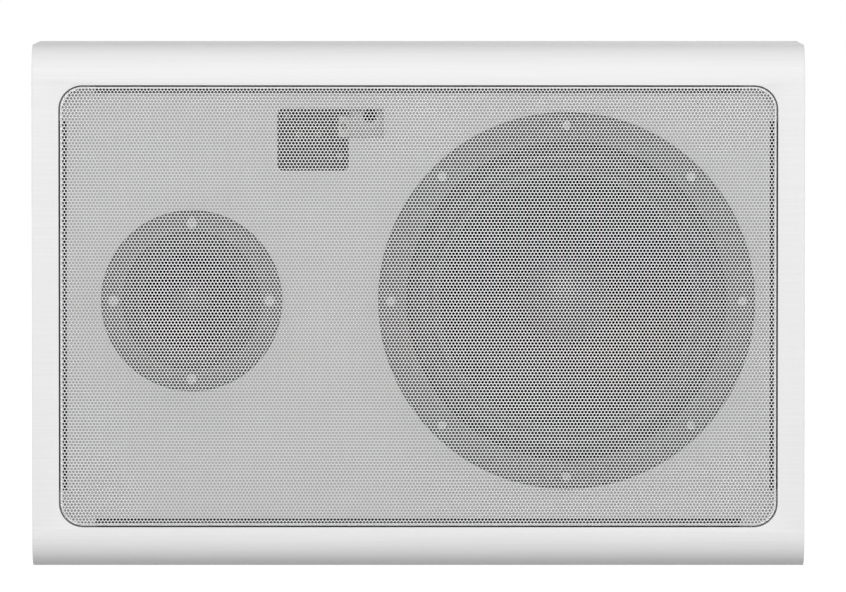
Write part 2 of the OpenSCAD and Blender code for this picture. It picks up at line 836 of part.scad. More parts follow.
module cable_clamp() {
  color("ivory") difference() {
    behind_face(recess_d - clamp_t, recess_d) translate([clamp_x, clamp_z])
      square([clamp_w, clamp_h], center = true);
    for (dz = [-clamp_slot_dz, clamp_slot_dz])
      translate([clamp_x, baffle_y + recess_d + clamp_slot_w, clamp_z + dz]) rotate([0, 90, 0])
        cylinder(r = clamp_slot_r, h = clamp_w + 2 * cut, center = true, $fn = round_mid);
    clamp_screw_place(0) cylinder(r = clamp_screw_r + screw_gap, h = recess_d + cut, $fn = round_small);
  }
}

module clamp_screw() {
  color("silver") clamp_screw_place(recess_d - clamp_t)
    pan_screw(clamp_screw_r, clamp_screw_len, 1.9, 1.3, 0.8);
}

module crossover_board() {
  color("darkgreen") difference() {
    behind_face(board_y, part_y) translate([board_x, board_z])
      square([board_w, board_h], center = true);
    board_screw_places(board_y - cut)
      cylinder(r = small_r + bolt_gap, h = board_t + 2 * cut, $fn = round_small);
  }
}

// A coil on the rear of the crossover board, at a place from its middle, and its bobbin
module coil(at, radii, h) {
  about(board_x + at[0], board_z + at[1]) {
    ring(radii[0], radii[1], part_y + bobbin_cheek, part_y + h - bobbin_cheek);
    ring(radii[0] - bobbin_wall, radii[0], part_y, part_y + h);
  }
}

module inductor_large() {
  color("peru") coil(large_coil_at, large_coil_r, large_coil_h);
}

module inductor_small() {
  color("peru") coil(small_coil_at, small_coil_r, small_coil_h);
}

module capacitors() {
  color("gold") for (dz = capacitor_dz)
    translate([board_x + capacitor_dx, baffle_y + part_y + capacitor_r, board_z + dz])
      rotate([0, 90, 0]) cylinder(r = capacitor_r, h = capacitor_len, center = true, $fn = round_mid);
}

module resistor() {
  color("linen") behind_face(part_y, part_y + resistor_size[2])
    translate([board_x + resistor_at[0], board_z + resistor_at[1]])
      square([resistor_size[0], resistor_size[1]], center = true);
}

// A lead swept along a route of points, with a ring of corners at each point
function unit(v) = v / norm(v);
function way(p, i) = unit(p[min(i + 1, len(p) - 1)] - p[max(i - 1, 0)]);
function side_of(d) = unit(cross(d, abs(d[1]) > 0.8 ? [1, 0, 0] : [0, 1, 0]));
module lead(points, r) {
  corners = 8;
  n = len(points);
  verts = [
    for (i = [0 : n - 1], k = [0 : corners - 1])
      let (d = way(points, i), u = side_of(d), v = cross(d, u), a = k * 360 / corners)
        points[i] + r * cos(a) * u + r * sin(a) * v
  ];
  sides = [
    for (i = [0 : n - 2], k = [0 : corners - 1])
      let (m = (k + 1) % corners)
        [i * corners + k, (i + 1) * corners + k, (i + 1) * corners + m, i * corners + m]
  ];
  first = [for (k = [0 : corners - 1]) k];
  last = [for (k = [corners - 1 : -1 : 0]) (n - 1) * corners + k];
  polyhedron(verts, concat(sides, [first, last]));
}

// A point beside a driver, at an angle and radius about its axis and w behind the face
function beside(cx, a, r, w) = [cx + r * cos(a), baffle_y + w, axis_z + r * sin(a)];

module woofer_lead() {
  end_r = woofer_hub_r + tag_t + tag_reach;
  color("firebrick") lead([
    for (p = [
      [woofer_lead_r, part_y], [woofer_lead_r, part_y + 3], [woofer_lead_r - 3, part_y + 7],
      [woofer_lead_r - 12, part_y + 12], [woofer_lead_r - 30, part_y + 16],
      [end_r + 22, woofer_tag_w], [end_r + 8, woofer_tag_w], [end_r, woofer_tag_w]
    ]) beside(woofer_cx, woofer_lead_a, p[0], p[1])
  ], flex_r);
}

module mid_lead() {
  wall_r = chamber_r + chamber_t;
  end_r = mid_hub_r + tag_t + tag_reach;
  color("firebrick") lead([
    for (p = [
      [mid_lead_r, part_y], [mid_lead_r, part_y + 2.5], [mid_lead_r - 3, part_y + 6],
      [mid_lead_r - 9, gland_w], [wall_r + 6, gland_w], [wall_r - 2, gland_w],
      [chamber_r - 2, gland_w], [end_r + 4.5, gland_w - 3], [end_r + 2, mid_tag_w + 5],
      [end_r + 0.6, mid_tag_w + 2], [end_r, mid_tag_w + 1.8]
    ]) beside(mid_cx, mid_lead_a, p[0], p[1])
  ], flex_r);
}

// Section of a driver's frame: flange, shelf for the surround, basket, spider ledge and hub
module frame_section(
  flange_r, ring_r, proud, rebate, shelf, shelf_r, wall, hub_r, hub_in, hub_t, ledge_w, depth
) {
  bevel = proud * 0.6;
  ledge_in = hub_r - 4 * wall;
  polygon([
    [shelf_r, shelf], [ring_r, shelf], [ring_r, -proud], [flange_r - bevel, -proud],
    [flange_r, bevel - proud], [flange_r, rebate], [ring_r + 0.2, rebate],
    [hub_r, ledge_w + wall], [hub_r, depth], [hub_in, depth], [hub_in, depth - hub_t],
    [hub_r - wall, depth - hub_t], [hub_r - wall, ledge_w + wall * 0.6],
    [ledge_in, ledge_w + wall * 0.6], [ledge_in, ledge_w], [hub_r - wall, ledge_w],
    [shelf_r, shelf + wall]
  ]);
}

// Wedges that open the basket between its spokes
module basket_windows(n, half_angle, w0, w1, reach) {
  for (i = [0 : n - 1]) rotate([0, 0, (i + 0.5) * 360 / n]) translate([0, 0, w0])
    linear_extrude(w1 - w0) polygon([
      [0, 0], [reach, -reach * tan(half_angle)], [reach, reach * tan(half_angle)]
    ]);
}

// A flexible roll between two flat lands, seated on a frame's shelf
module surround(crest_r, roll_r, land_in, outer_r, shelf, thick) {
  rotate_extrude($fn = round_big) union() {
    intersection() {
      difference() {
        translate([crest_r, shelf]) circle(roll_r + thick / 2, $fn = round_mid);
        translate([crest_r, shelf]) circle(roll_r - thick / 2, $fn = round_mid);
      }
      ring_2d(crest_r - roll_r - thick, crest_r + roll_r + thick, shelf - 2 * roll_r, shelf);
    }
    ring_2d(crest_r + roll_r - thick / 2, outer_r, shelf - thick, shelf);
    ring_2d(crest_r - roll_r - land_in, crest_r - roll_r + thick / 2, shelf - thick, shelf);
  }
}

// Depth of a cone's front at radius r, between its lip and the voice coil former
function cone_w(r, lip_r, neck_r, shelf, end) =
  shelf + (end - shelf) * (1 - pow((r - neck_r) / (lip_r - neck_r), 1.15));

module cone(outer_r, lip_r, neck_r, shelf, end, thick) {
  steps = 10;
  front = [
    for (i = [0 : steps])
      let (r = lip_r + (neck_r - lip_r) * i / steps) [r, cone_w(r, lip_r, neck_r, shelf, end)]
  ];
  back = [for (i = [steps : -1 : 0]) front[i] + [0, thick]];
  rotate_extrude($fn = round_big)
    polygon(concat([[outer_r, shelf]], front, back, [[outer_r, shelf + thick]]));
}

module dust_cap(cap_r, rise, base_w, thick) {
  ball_r = (cap_r * cap_r + rise * rise) / (2 * rise);
  rotate_extrude($fn = round_big) intersection() {
    difference() {
      translate([0, base_w - rise + ball_r]) circle(ball_r, $fn = round_big);
      translate([0, base_w - rise + ball_r]) circle(ball_r - thick, $fn = round_big);
    }
    ring_2d(0, cap_r, base_w - rise - cut, base_w);
  }
}

// A corrugated disc from the former to its ledge on the frame
module spider(in_r, out_r, ledge_w, waves, swing, thick) {
  steps = 8 * waves;
  flat = (out_r - in_r) * 0.12;
  function wave(i) = [
    in_r + flat + (out_r - in_r - 3 * flat) * i / steps,
    ledge_w - thick + swing * sin(i * 360 * waves / steps)
  ];
  top = [for (i = [0 : steps]) wave(i)];
  low = [for (i = [steps : -1 : 0]) wave(i) + [0, thick]];
  rotate_extrude($fn = round_big) polygon(concat(
    [[in_r, ledge_w - thick]], top, [[out_r, ledge_w - thick], [out_r, ledge_w]],
    low, [[in_r, ledge_w]]
  ));
}

// A fibre tag strip on the frame's hub, with two solder tags
module tag_strip(cx, angle, hub_r, w, size) {
  about(cx, axis_z) rotate([0, 0, -angle]) translate([hub_r + screw_gap, 0, w]) {
    translate([0, -size[0] / 2, -size[1] / 2]) cube([tag_t, size[0], size[1]]);
    for (side = [-1, 1]) translate([tag_t, side * size[0] * 0.32 - tag_w / 2, -tag_h / 2])
      cube([tag_reach, tag_w, tag_h]);
  }
}

module woofer_frame() {
  color("dimgray") about(woofer_cx, axis_z) difference() {
    rotate_extrude($fn = round_big) frame_section(
      woofer_flange_r, woofer_ring_r, woofer_proud, woofer_rebate, woofer_shelf, woofer_shelf_r,
      woofer_wall, woofer_hub_r, woofer_bore + hub_gap, woofer_hub_t, woofer_spider_w, woofer_depth
    );
    basket_windows(
      woofer_spokes, woofer_window_a, woofer_shelf + 8, woofer_spider_w - 3, woofer_flange_r
    );
    translate([0, 0, -woofer_proud - cut]) screw_circle(woofer_screws_n, woofer_screw_r)
      cylinder(r = wood_r + bolt_gap, h = woofer_proud + woofer_rebate + 2 * cut, $fn = round_small);
  }
}

module woofer_gasket() {
  gasket_back = woofer_shelf - woofer_edge_t;
  color("black") about(woofer_cx, axis_z) rotate_extrude($fn = round_big) ring_2d(
    woofer_crest_r + woofer_roll_r + 1, woofer_ring_r - edge_gap,
    gasket_back - gasket_t, gasket_back
  );
}

module woofer_surround() {
  color("black") about(woofer_cx, axis_z) surround(
    woofer_crest_r, woofer_roll_r, woofer_land, woofer_ring_r - edge_gap,
    woofer_shelf, woofer_edge_t
  );
}

module woofer_cone() {
  color("darkslategray") about(woofer_cx, axis_z)
    cone(woofer_cone_r, woofer_lip_r, woofer_neck_r, woofer_shelf, woofer_cone_end, woofer_cone_t);
}

module woofer_dust_cap() {
  base_w = cone_w(woofer_cap_r, woofer_lip_r, woofer_neck_r, woofer_shelf, woofer_cone_end);
  color("darkslategray") about(woofer_cx, axis_z)
    dust_cap(woofer_cap_r, woofer_dome_rise, base_w - screw_gap, woofer_dome_t);
}

module woofer_former() {
  color("peru") about(woofer_cx, axis_z)
    ring(woofer_coil_r, woofer_neck_r, woofer_cone_end - 1, woofer_depth + woofer_plate_t + 6);
}

module woofer_voice_coil() {
  color("chocolate") about(woofer_cx, axis_z)
    ring(woofer_neck_r, woofer_neck_r + coil_t, woofer_depth - 4, woofer_depth + woofer_plate_t + 4);
}

module woofer_spider() {
  color("goldenrod") about(woofer_cx, axis_z)
    spider(
      woofer_neck_r + screw_gap, woofer_ledge_out, woofer_spider_w,
      woofer_waves, woofer_swing, woofer_spider_t
    );
}

module woofer_top_plate() {
  color("silver") about(woofer_cx, axis_z)
    ring(woofer_bore, woofer_magnet_r - 6, woofer_depth, woofer_depth + woofer_plate_t);
}

module woofer_magnet() {
  color("black") about(woofer_cx, axis_z)
    ring(woofer_coil_r + 8, woofer_magnet_r, woofer_depth + woofer_plate_t, woofer_rear);
}

// Pole and rear plate in one piece, with a vent through the pole
module yoke(pole_r, plate_r, front, rear, thick, vent_r) {
  ring(vent_r, pole_r, front, rear);
  ring(vent_r, plate_r, rear, rear + thick);
}

module woofer_yoke() {
  color("silver") about(woofer_cx, axis_z)
    yoke(
      woofer_coil_r - gap_t, woofer_magnet_r - 5, woofer_depth, woofer_rear,
      woofer_yoke_t, woofer_vent_r
    );
}

module woofer_terminals() {
  color("tan")
    tag_strip(woofer_cx, woofer_lead_a, woofer_hub_r, woofer_tag_w, woofer_tag_size);
}

module woofer_screws() {
  color("silver") about(woofer_cx, axis_z) translate([0, 0, -woofer_proud])
    screw_circle(woofer_screws_n, woofer_screw_r)
      pan_screw(wood_r, pilot_len + 1, woofer_head_r, driver_head_h, 1.1);
}

module mid_frame() {
  color("dimgray") about(mid_cx, axis_z) difference() {
    rotate_extrude($fn = round_big) frame_section(
      mid_flange_r, mid_ring_r, mid_proud, mid_rebate, mid_shelf, mid_shelf_r,
      mid_wall, mid_hub_r, mid_bore + hub_gap, mid_hub_t, mid_spider_w, mid_depth
    );
    basket_windows(mid_spokes, mid_window_a, mid_shelf + 5, mid_spider_w - 2, mid_flange_r);
    translate([0, 0, -mid_proud - cut]) screw_circle(mid_screws_n, mid_screw_r)
      cylinder(r = wood_r + bolt_gap, h = mid_proud + mid_rebate + 2 * cut, $fn = round_small);
  }
}

module mid_surround() {
  color("black") about(mid_cx, axis_z) surround(
    mid_crest_r, mid_roll_r, mid_land, mid_ring_r - edge_gap, mid_shelf, mid_edge_t
  );
}

module mid_cone() {
  color("darkslategray") about(mid_cx, axis_z)
    cone(mid_cone_r, mid_lip_r, mid_neck_r + screw_gap, mid_shelf, mid_cone_end, mid_cone_t);
}

module mid_dust_cap() {
  base_w = cone_w(mid_cap_r, mid_lip_r, mid_neck_r, mid_shelf, mid_cone_end);
  color("darkslategray") about(mid_cx, axis_z)
    dust_cap(mid_cap_r, mid_dome_rise, base_w - screw_gap, mid_dome_t);
}

module mid_former() {
  color("peru") about(mid_cx, axis_z)
    ring(mid_coil_r, mid_neck_r, mid_cone_end - 0.5, mid_depth + mid_plate_t + 4);
}

module mid_voice_coil() {
  color("chocolate") about(mid_cx, axis_z)
    ring(mid_neck_r, mid_neck_r + coil_t, mid_depth - 2, mid_depth + mid_plate_t + 2);
}

module mid_spider() {
  color("goldenrod") about(mid_cx, axis_z)
    spider(
      mid_neck_r + screw_gap, mid_ledge_out, mid_spider_w, mid_waves, mid_swing, mid_spider_t
    );
}

module mid_top_plate() {
  color("silver") about(mid_cx, axis_z)
    ring(mid_bore, mid_magnet_r - 3, mid_depth, mid_depth + mid_plate_t);
}

module mid_magnet() {
  color("black") about(mid_cx, axis_z)
    ring(mid_coil_r + 5, mid_magnet_r, mid_depth + mid_plate_t, mid_rear);
}

module mid_yoke() {
  color("silver") about(mid_cx, axis_z)
    yoke(mid_coil_r - gap_t, mid_magnet_r - 3, mid_depth, mid_rear, mid_yoke_t, mid_vent_r);
}

module mid_terminals() {
  color("tan") tag_strip(mid_cx, mid_lead_a, mid_hub_r, mid_tag_w, mid_tag_size);
}

module mid_screws() {
  color("silver") about(mid_cx, axis_z) translate([0, 0, -mid_proud])
    screw_circle(mid_screws_n, mid_screw_r)
      pan_screw(wood_r, pilot_len + 1, mid_head_r, driver_head_h, 1.3);
}

module mid_chamber() {
  wall_r = chamber_r + chamber_t;
  color("black") about(mid_cx, axis_z) difference() {
    rotate_extrude($fn = round_big) polygon([
      [chamber_r, baffle_t], [chamber_flange_r, baffle_t],
      [chamber_flange_r, baffle_t + chamber_flange_t], [wall_r, baffle_t + chamber_flange_t],
      [wall_r, chamber_end - chamber_bevel], [wall_r - chamber_bevel, chamber_end],
      [0, chamber_end], [0, chamber_end - chamber_t],
      [chamber_r - chamber_bevel + 1, chamber_end - chamber_t],
      [chamber_r, chamber_end - chamber_t - chamber_bevel + 1]
    ]);
    rotate([0, 0, 45]) translate([0, 0, baffle_t - cut])
      screw_circle(chamber_screw_n, chamber_screw_r)
        cylinder(r = small_r + bolt_gap, h = chamber_flange_t + 2 * cut, $fn = round_small);
    rotate([0, 0, -mid_lead_a]) translate([chamber_r - chamber_t, 0, gland_w]) rotate([0, 90, 0])
      cylinder(r = flex_r + gland_gap, h = 3 * chamber_t, $fn = round_small);
  }
}

module chamber_screws() {
  screw_len = chamber_flange_t + chamber_pilot_len - 0.5;
  color("gray") about(mid_cx, axis_z) translate([0, 0, baffle_t + chamber_flange_t])
    rotate([0, 0, 45]) screw_circle(chamber_screw_n, chamber_screw_r) rotate([180, 0, 0])
      pan_screw(small_r, screw_len, small_head_r, small_head_h, 1);
}

sleeve();
end_cap_left();
end_cap_right();
end_cap_screws();
baffle();
rear_panel();
hanger_plate_left();
hanger_plate_right();
hanger_screws();
cable_tube();
damping_pad();
grille();
grille_strips();
input_tray();
tray_fixing_screws();
terminal_block();
terminal_screws();
cable_clamp();
clamp_screw();
board_screws();
board_spacers();
board_nuts();
crossover_board();
inductor_large();
inductor_small();
capacitors();
resistor();
input_leads();
woofer_lead();
mid_lead();
woofer_frame();
woofer_gasket();
woofer_surround();
woofer_cone();
woofer_dust_cap();
woofer_former();
woofer_voice_coil();
woofer_spider();
woofer_top_plate();
woofer_magnet();
woofer_yoke();
woofer_terminals();
woofer_screws();
mid_frame();
mid_surround();
mid_cone();
mid_dust_cap();
mid_former();
mid_voice_coil();
mid_spider();
mid_top_plate();
mid_magnet();
mid_yoke();
mid_terminals();
mid_screws();
mid_chamber();
chamber_screws();
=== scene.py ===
import math

import bpy
import numpy as np
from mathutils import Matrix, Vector


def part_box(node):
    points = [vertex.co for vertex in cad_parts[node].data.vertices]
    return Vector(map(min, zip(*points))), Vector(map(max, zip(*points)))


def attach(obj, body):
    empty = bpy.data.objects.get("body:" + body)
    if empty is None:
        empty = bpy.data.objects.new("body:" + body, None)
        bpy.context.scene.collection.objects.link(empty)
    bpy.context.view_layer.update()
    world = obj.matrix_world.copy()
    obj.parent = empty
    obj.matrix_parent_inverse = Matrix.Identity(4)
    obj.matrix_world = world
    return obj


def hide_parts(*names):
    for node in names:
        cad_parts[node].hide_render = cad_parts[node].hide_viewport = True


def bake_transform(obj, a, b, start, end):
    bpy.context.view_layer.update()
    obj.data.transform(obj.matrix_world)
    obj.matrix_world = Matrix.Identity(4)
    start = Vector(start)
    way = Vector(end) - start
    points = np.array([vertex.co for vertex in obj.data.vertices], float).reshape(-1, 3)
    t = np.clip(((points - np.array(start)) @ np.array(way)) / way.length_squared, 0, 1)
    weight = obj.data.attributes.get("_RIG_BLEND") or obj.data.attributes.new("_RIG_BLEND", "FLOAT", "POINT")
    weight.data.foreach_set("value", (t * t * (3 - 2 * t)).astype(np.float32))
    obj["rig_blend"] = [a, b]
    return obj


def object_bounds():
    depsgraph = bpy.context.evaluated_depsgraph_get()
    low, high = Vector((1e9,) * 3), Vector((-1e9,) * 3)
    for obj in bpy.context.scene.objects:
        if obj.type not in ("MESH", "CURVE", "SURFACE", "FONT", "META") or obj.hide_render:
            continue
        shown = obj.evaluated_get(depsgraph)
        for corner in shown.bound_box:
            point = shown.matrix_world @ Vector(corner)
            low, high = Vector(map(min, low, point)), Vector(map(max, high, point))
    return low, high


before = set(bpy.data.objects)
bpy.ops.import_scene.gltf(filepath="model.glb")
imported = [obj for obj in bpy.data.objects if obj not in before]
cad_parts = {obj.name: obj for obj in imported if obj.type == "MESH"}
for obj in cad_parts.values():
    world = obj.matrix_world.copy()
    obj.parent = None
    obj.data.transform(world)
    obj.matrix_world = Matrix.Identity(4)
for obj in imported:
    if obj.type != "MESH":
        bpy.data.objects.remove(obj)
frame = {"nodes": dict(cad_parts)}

bl_info = {
    "name": "Wall Speaker",
    "version": (1, 0, 0),
    "blender": (4, 5, 0),
    "location": "3D View > Sidebar > Speaker",
    "description": "Models and finishes the pieces of a two-way wall speaker",
    "category": "Object",
}

MM = 0.001
CAD_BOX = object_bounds()
PICTURE_SIZE = (846, 592)  # pixels
SENSOR = 36.0  # width of the camera's sensor, which Blender counts in millimetres
STEPS_ROUND = 96  # steps of every spun rubber or cloth piece
SAME_SPOT = 0.001 * MM  # points nearer than this are one
ON_PLANE = 0.01 * MM  # a point nearer than this lies on a plane
BISECT_SNAP = 1e-7  # metres, for cuts through the fine perforation
WAVES_A_UNIT = 20 / math.tau  # waves a unit of Blender's Wave Texture at scale 1


# Settings


def length(name, description, default, low=0.0, high=10.0):
    """A size in metres, shown in the panel."""
    return bpy.props.FloatProperty(
        name=name,
        description=description,
        default=default,
        min=low,
        max=high,
        unit="LENGTH",
        subtype="DISTANCE",
        precision=4,
    )


def colour(name, description, default):
    """A colour in linear light, shown in the panel."""
    return bpy.props.FloatVectorProperty(
        name=name,
        description=description,
        default=default,
        size=3,
        min=0.0,
        max=1.0,
        subtype="COLOR",
    )


def amount(name, description, default):
    """A plain number from 0 upwards, shown in the panel."""
    return bpy.props.FloatProperty(
        name=name, description=description, default=default, min=0.0
    )


def count(name, description, default):
    """A whole number from 1 upwards, shown in the panel."""
    return bpy.props.IntProperty(
        name=name, description=description, default=default, min=1
    )


def spot(name, description, default):
    """A place in metres, shown in the panel."""
    return bpy.props.FloatVectorProperty(
        name=name,
        description=description,
        default=default,
        unit="LENGTH",
        subtype="TRANSLATION",
    )


class CabinetSettings(bpy.types.PropertyGroup):
    """Edges of the sleeve and of its end caps."""

    front_edge_z: length(
        "Flat front", "Height within which the opening's edge lies", 130.0 * MM
    )
    opening_break: length(
        "Opening edge", "Rounding of the painted edge of the opening", 0.3 * MM
    )
    cap_break: length("Cap edge", "Rounding of the edges of an end cap", 0.25 * MM)
    cap_bend: length("Cap bend", "Reach of the curve of a cap's front corners", 21.0 * MM)


class GrilleSettings(bpy.types.PropertyGroup):
    """Perforation and folds of the grille."""

    pitch: length("Hole pitch", "Distance between neighbouring holes of a row", 1.995 * MM)
    row: length("Row pitch", "Distance between neighbouring rows of holes", 1.7335 * MM)
    hole: length("Hole", "Diameter of a round hole of the same area", 1.67 * MM)
    sheet: length("Sheet", "Thickness of the sheet", 1.0 * MM)
    bend: length("Bend", "Outer radius of the fold round the face", 1.3 * MM)
    corner: length("Corner", "Outer corner radius of the grille", 13.1 * MM)
    lip: length("Lip", "Depth of the lip round the face", 5.0 * MM)
    past_bend: length(
        "Past the bend", "How far the holes run on along the lip", 0.15 * MM
    )
    tongue_w: length("Long tongues", "Length of the upper and lower tongue", 373.0 * MM)
    tongue_h: length("Short tongues", "Length of the side tongues", 212.5 * MM)
    column_shift: length("Columns", "Place of a column of holes", 1.4 * MM)
    row_shift: length("Rows", "Place of a row of holes", 1.088 * MM)


class WooferSettings(bpy.types.PropertyGroup):
    """Soft pieces of the woofer."""

    crest: length("Crest", "Radius of the crest of the surround", 83.0 * MM)
    roll: length("Roll", "Half width of the surround's roll", 5.5 * MM)
    rubber: length("Rubber", "Thickness of the surround", 1.0 * MM)
    inner_land: length("Inner land", "Width of the flat that is glued to the cone", 4.0 * MM)
    spider_cloth: length("Spider cloth", "Thickness of the spider", 0.8 * MM)
    spider_waves: count("Spider waves", "Number of corrugations of the spider", 4)
    spider_swing: length("Spider swing", "Half height of a corrugation", 1.2 * MM)


class MidrangeSettings(bpy.types.PropertyGroup):
    """Soft pieces of the midrange driver."""

    crest: length("Crest", "Radius of the crest of the surround", 34.2 * MM)
    roll: length("Roll", "Half width of the surround's roll", 2.9 * MM)
    rubber: length("Rubber", "Thickness of the surround", 0.7 * MM)
    inner_land: length("Inner land", "Width of the flat that is glued to the cone", 2.6 * MM)
    spider_cloth: length("Spider cloth", "Thickness of the spider", 0.6 * MM)
    spider_waves: count("Spider waves", "Number of corrugations of the spider", 3)
    spider_swing: length("Spider swing", "Half height of a corrugation", 0.7 * MM)


class FinishSettings(bpy.types.PropertyGroup):
    """Colours of the main finishes."""

    cabinet: colour("Cabinet", "Satin paint of the sleeve and caps", (0.84, 0.84, 0.84))
    grille: colour("Grille", "Powder coat of the grille", (0.90, 0.90, 0.90))
    baffle: colour("Baffle", "Paint of the baffle", (0.57, 0.57, 0.57))
    tray: colour("Tray", "Moulded terminal tray", (0.035, 0.035, 0.036))
    frame: colour("Driver frames", "Paint of the baskets", (0.11, 0.11, 0.11))
    cone: colour("Cones", "Paper of the cones and caps", (0.009, 0.009, 0.009))
    rubber: colour("Surrounds", "Rubber of the surrounds", (0.011, 0.011, 0.011))
    rear: colour("Rear panel", "Sealed fibreboard at the back", (0.045, 0.045, 0.048))


class StageSettings(bpy.types.PropertyGroup):
    """Camera, lamps and floor."""

    distance: length("Distance", "Camera to the cabinet's front", 5.87, high=50.0)
    pixel: length("Pixel", "Size of one pixel at the cabinet's front", 0.5796 * MM)
    elevation: bpy.props.FloatProperty(
        name="Elevation",
        description="Height of the camera above the horizon",
        default=math.radians(2.5),
        unit="ROTATION",
        subtype="ANGLE",
    )
    aim_x: length("Aim across", "Sideways place of the picture's middle", 2.73 * MM)
    aim_z: length("Aim up", "Height of the picture's middle", 6.15 * MM)
    floor_z: length("Floor", "Depth of the floor below the cabinet's middle", 1.0)
    floor_size: length("Floor size", "Length of a side of the floor", 60.0, high=200.0)
    floor_shade: colour("Floor colour", "Paint of the floor", (0.6, 0.6, 0.6))
    floor_glow: amount("Floor glow", "Lift to white where the floor is seen", 0.85)
    lamp_size: length("Lamp size", "Length of a side of a lamp", 2.4)
    key_place: spot("Key lamp place", "Place of the key lamp", (0.0, -3.35, 1.5))
    back_place: spot("Back lamp place", "Place of the lamp behind", (1.2, 3.4, 0.7))
    key_power: amount("Key lamp", "Power of the key lamp in watts", 103.0)
    back_power: amount("Back lamp", "Power of the lamp behind in watts", 7.0)
    ambient: amount("Ambient", "Strength of the even light", 0.26)


SETTINGS = {
    "speaker_cabinet": CabinetSettings,
    "speaker_grille": GrilleSettings,
    "speaker_woofer": WooferSettings,
    "speaker_midrange": MidrangeSettings,
    "speaker_finish": FinishSettings,
    "speaker_stage": StageSettings,
}


# Modelling helpers


def deselect():
    """Leaves edit mode and selects nothing."""
    active = bpy.context.object
    if active is not None and active.mode != "OBJECT":
        bpy.ops.object.mode_set(mode="OBJECT")
    bpy.ops.object.select_all(action="DESELECT")


def take(obj):
    """Selects one object alone and makes it the active one."""
    deselect()
    obj.select_set(True)
    bpy.context.view_layer.objects.active = obj
    return obj


def fresh(name):
    """Names the object that an operator has just added, and applies its place."""
    obj = bpy.context.object
    bpy.ops.object.transform_apply(location=True, rotation=True, scale=True)
    obj.name = name
    obj.data.name = name
    return obj


def block(name, low, high):
    """A box between two corners."""
    low, high = Vector(low), Vector(high)
    deselect()
    bpy.ops.mesh.primitive_cube_add(
        size=1, location=(low + high) / 2, scale=(high - low)
    )
    return fresh(name)


def pick(obj, kind, chosen):
    """Opens edit mode with the vertices, edges or faces selected that a mask or test names."""
    take(obj)
    bpy.ops.object.mode_set(mode="EDIT")
    bpy.ops.mesh.select_mode(type=kind)
    bpy.ops.mesh.select_all(action="DESELECT")
    leave()
    mesh = obj.data
    group = {"VERT": mesh.vertices, "EDGE": mesh.edges, "FACE": mesh.polygons}[kind]
    if callable(chosen):
        if kind == "VERT":
            mask = [chosen(v.co) for v in group]
        elif kind == "EDGE":
            spots = [v.co for v in mesh.vertices]
            mask = [chosen(spots[e.vertices[0]], spots[e.vertices[1]]) for e in group]
        else:
            mask = [chosen(f.center, f.normal) for f in group]
    else:
        mask = chosen
    group.foreach_set("select", np.asarray(mask, bool))
    bpy.ops.object.mode_set(mode="EDIT")


def pick_all(obj):
    """Opens edit mode on one object with all of it selected."""
    take(obj)
    bpy.ops.object.mode_set(mode="EDIT")
    bpy.ops.mesh.select_mode(type="VERT")
    bpy.ops.mesh.select_all(action="SELECT")


def leave():
    """Goes back to object mode."""
    bpy.ops.object.mode_set(mode="OBJECT")


def apply_modifier(obj, kind, **values):
    """Adds a modifier, sets it and applies it."""
    take(obj)
    modifier = obj.modifiers.new(kind.title(), kind)
    for key, value in values.items():
        setattr(modifier, key, value)
    bpy.ops.object.modifier_apply(modifier=modifier.name)
    return obj


def settle(obj, angle=30.0):
    """Merges doubles, turns the faces outwards and smooths what lies under an angle."""
    pick_all(obj)
    bpy.ops.mesh.remove_doubles(threshold=SAME_SPOT)
    bpy.ops.mesh.normals_make_consistent(inside=False)
    leave()
    bpy.ops.object.shade_smooth_by_angle(angle=math.radians(angle))
    return obj


def spots_of(mesh):
    """The places of a mesh's vertices as an array."""
    found = np.empty(len(mesh.vertices) * 3)
    mesh.vertices.foreach_get("co", found)
    return found.reshape(-1, 3)


def place_spots(mesh, spots):
    """Moves a mesh's vertices to the places of an array."""
    mesh.vertices.foreach_set("co", np.ascontiguousarray(spots).ravel())
    mesh.update()


def copy_of(node, name):
    """A merged copy of a CAD node."""
    deselect()
    obj = bpy.data.objects.new(name, frame["nodes"][node].data.copy())
    obj.data.name = name
    bpy.context.scene.collection.objects.link(obj)
    take(obj)
    bpy.ops.mesh.customdata_custom_splitnormals_clear()
    pick_all(obj)
    bpy.ops.mesh.remove_doubles(threshold=2 * SAME_SPOT)
    leave()
    return obj


def polyline(name, points):
    """A chain of vertices, drawn out one after another."""
    points = [Vector(p) for p in points]
    deselect()
    bpy.ops.mesh.primitive_plane_add(size=MM, location=points[0])
    obj = fresh(name)
    bpy.ops.object.mode_set(mode="EDIT")
    bpy.ops.mesh.select_mode(type="VERT")
    bpy.ops.mesh.select_all(action="SELECT")
    bpy.ops.mesh.merge(type="CENTER")
    for start, end in zip(points, points[1:]):
        bpy.ops.mesh.extrude_vertices_move(
            TRANSFORM_OT_translate={"value": end - start}
        )
    leave()
    return obj


def spun(name, centre, profile, thickness):
    """A wall turned about a driver's axis from a profile of (radius, depth) points."""
    cx, cz = centre
    obj = polyline(name, [(cx + r, y, cz) for r, y in profile])
    pick_all(obj)
    bpy.ops.mesh.spin(
        steps=STEPS_ROUND,
        angle=2 * math.pi,
        use_auto_merge=True,
        center=(cx, 0, cz),
        axis=(0, 1, 0),
    )
    bpy.ops.mesh.select_all(action="SELECT")
    bpy.ops.mesh.remove_doubles(threshold=SAME_SPOT)
    bpy.ops.mesh.normals_make_consistent(inside=False)
    leave()
    apply_modifier(obj, "SOLIDIFY", thickness=thickness, offset=0.0, use_even_offset=True)
    return settle(obj, 40.0)


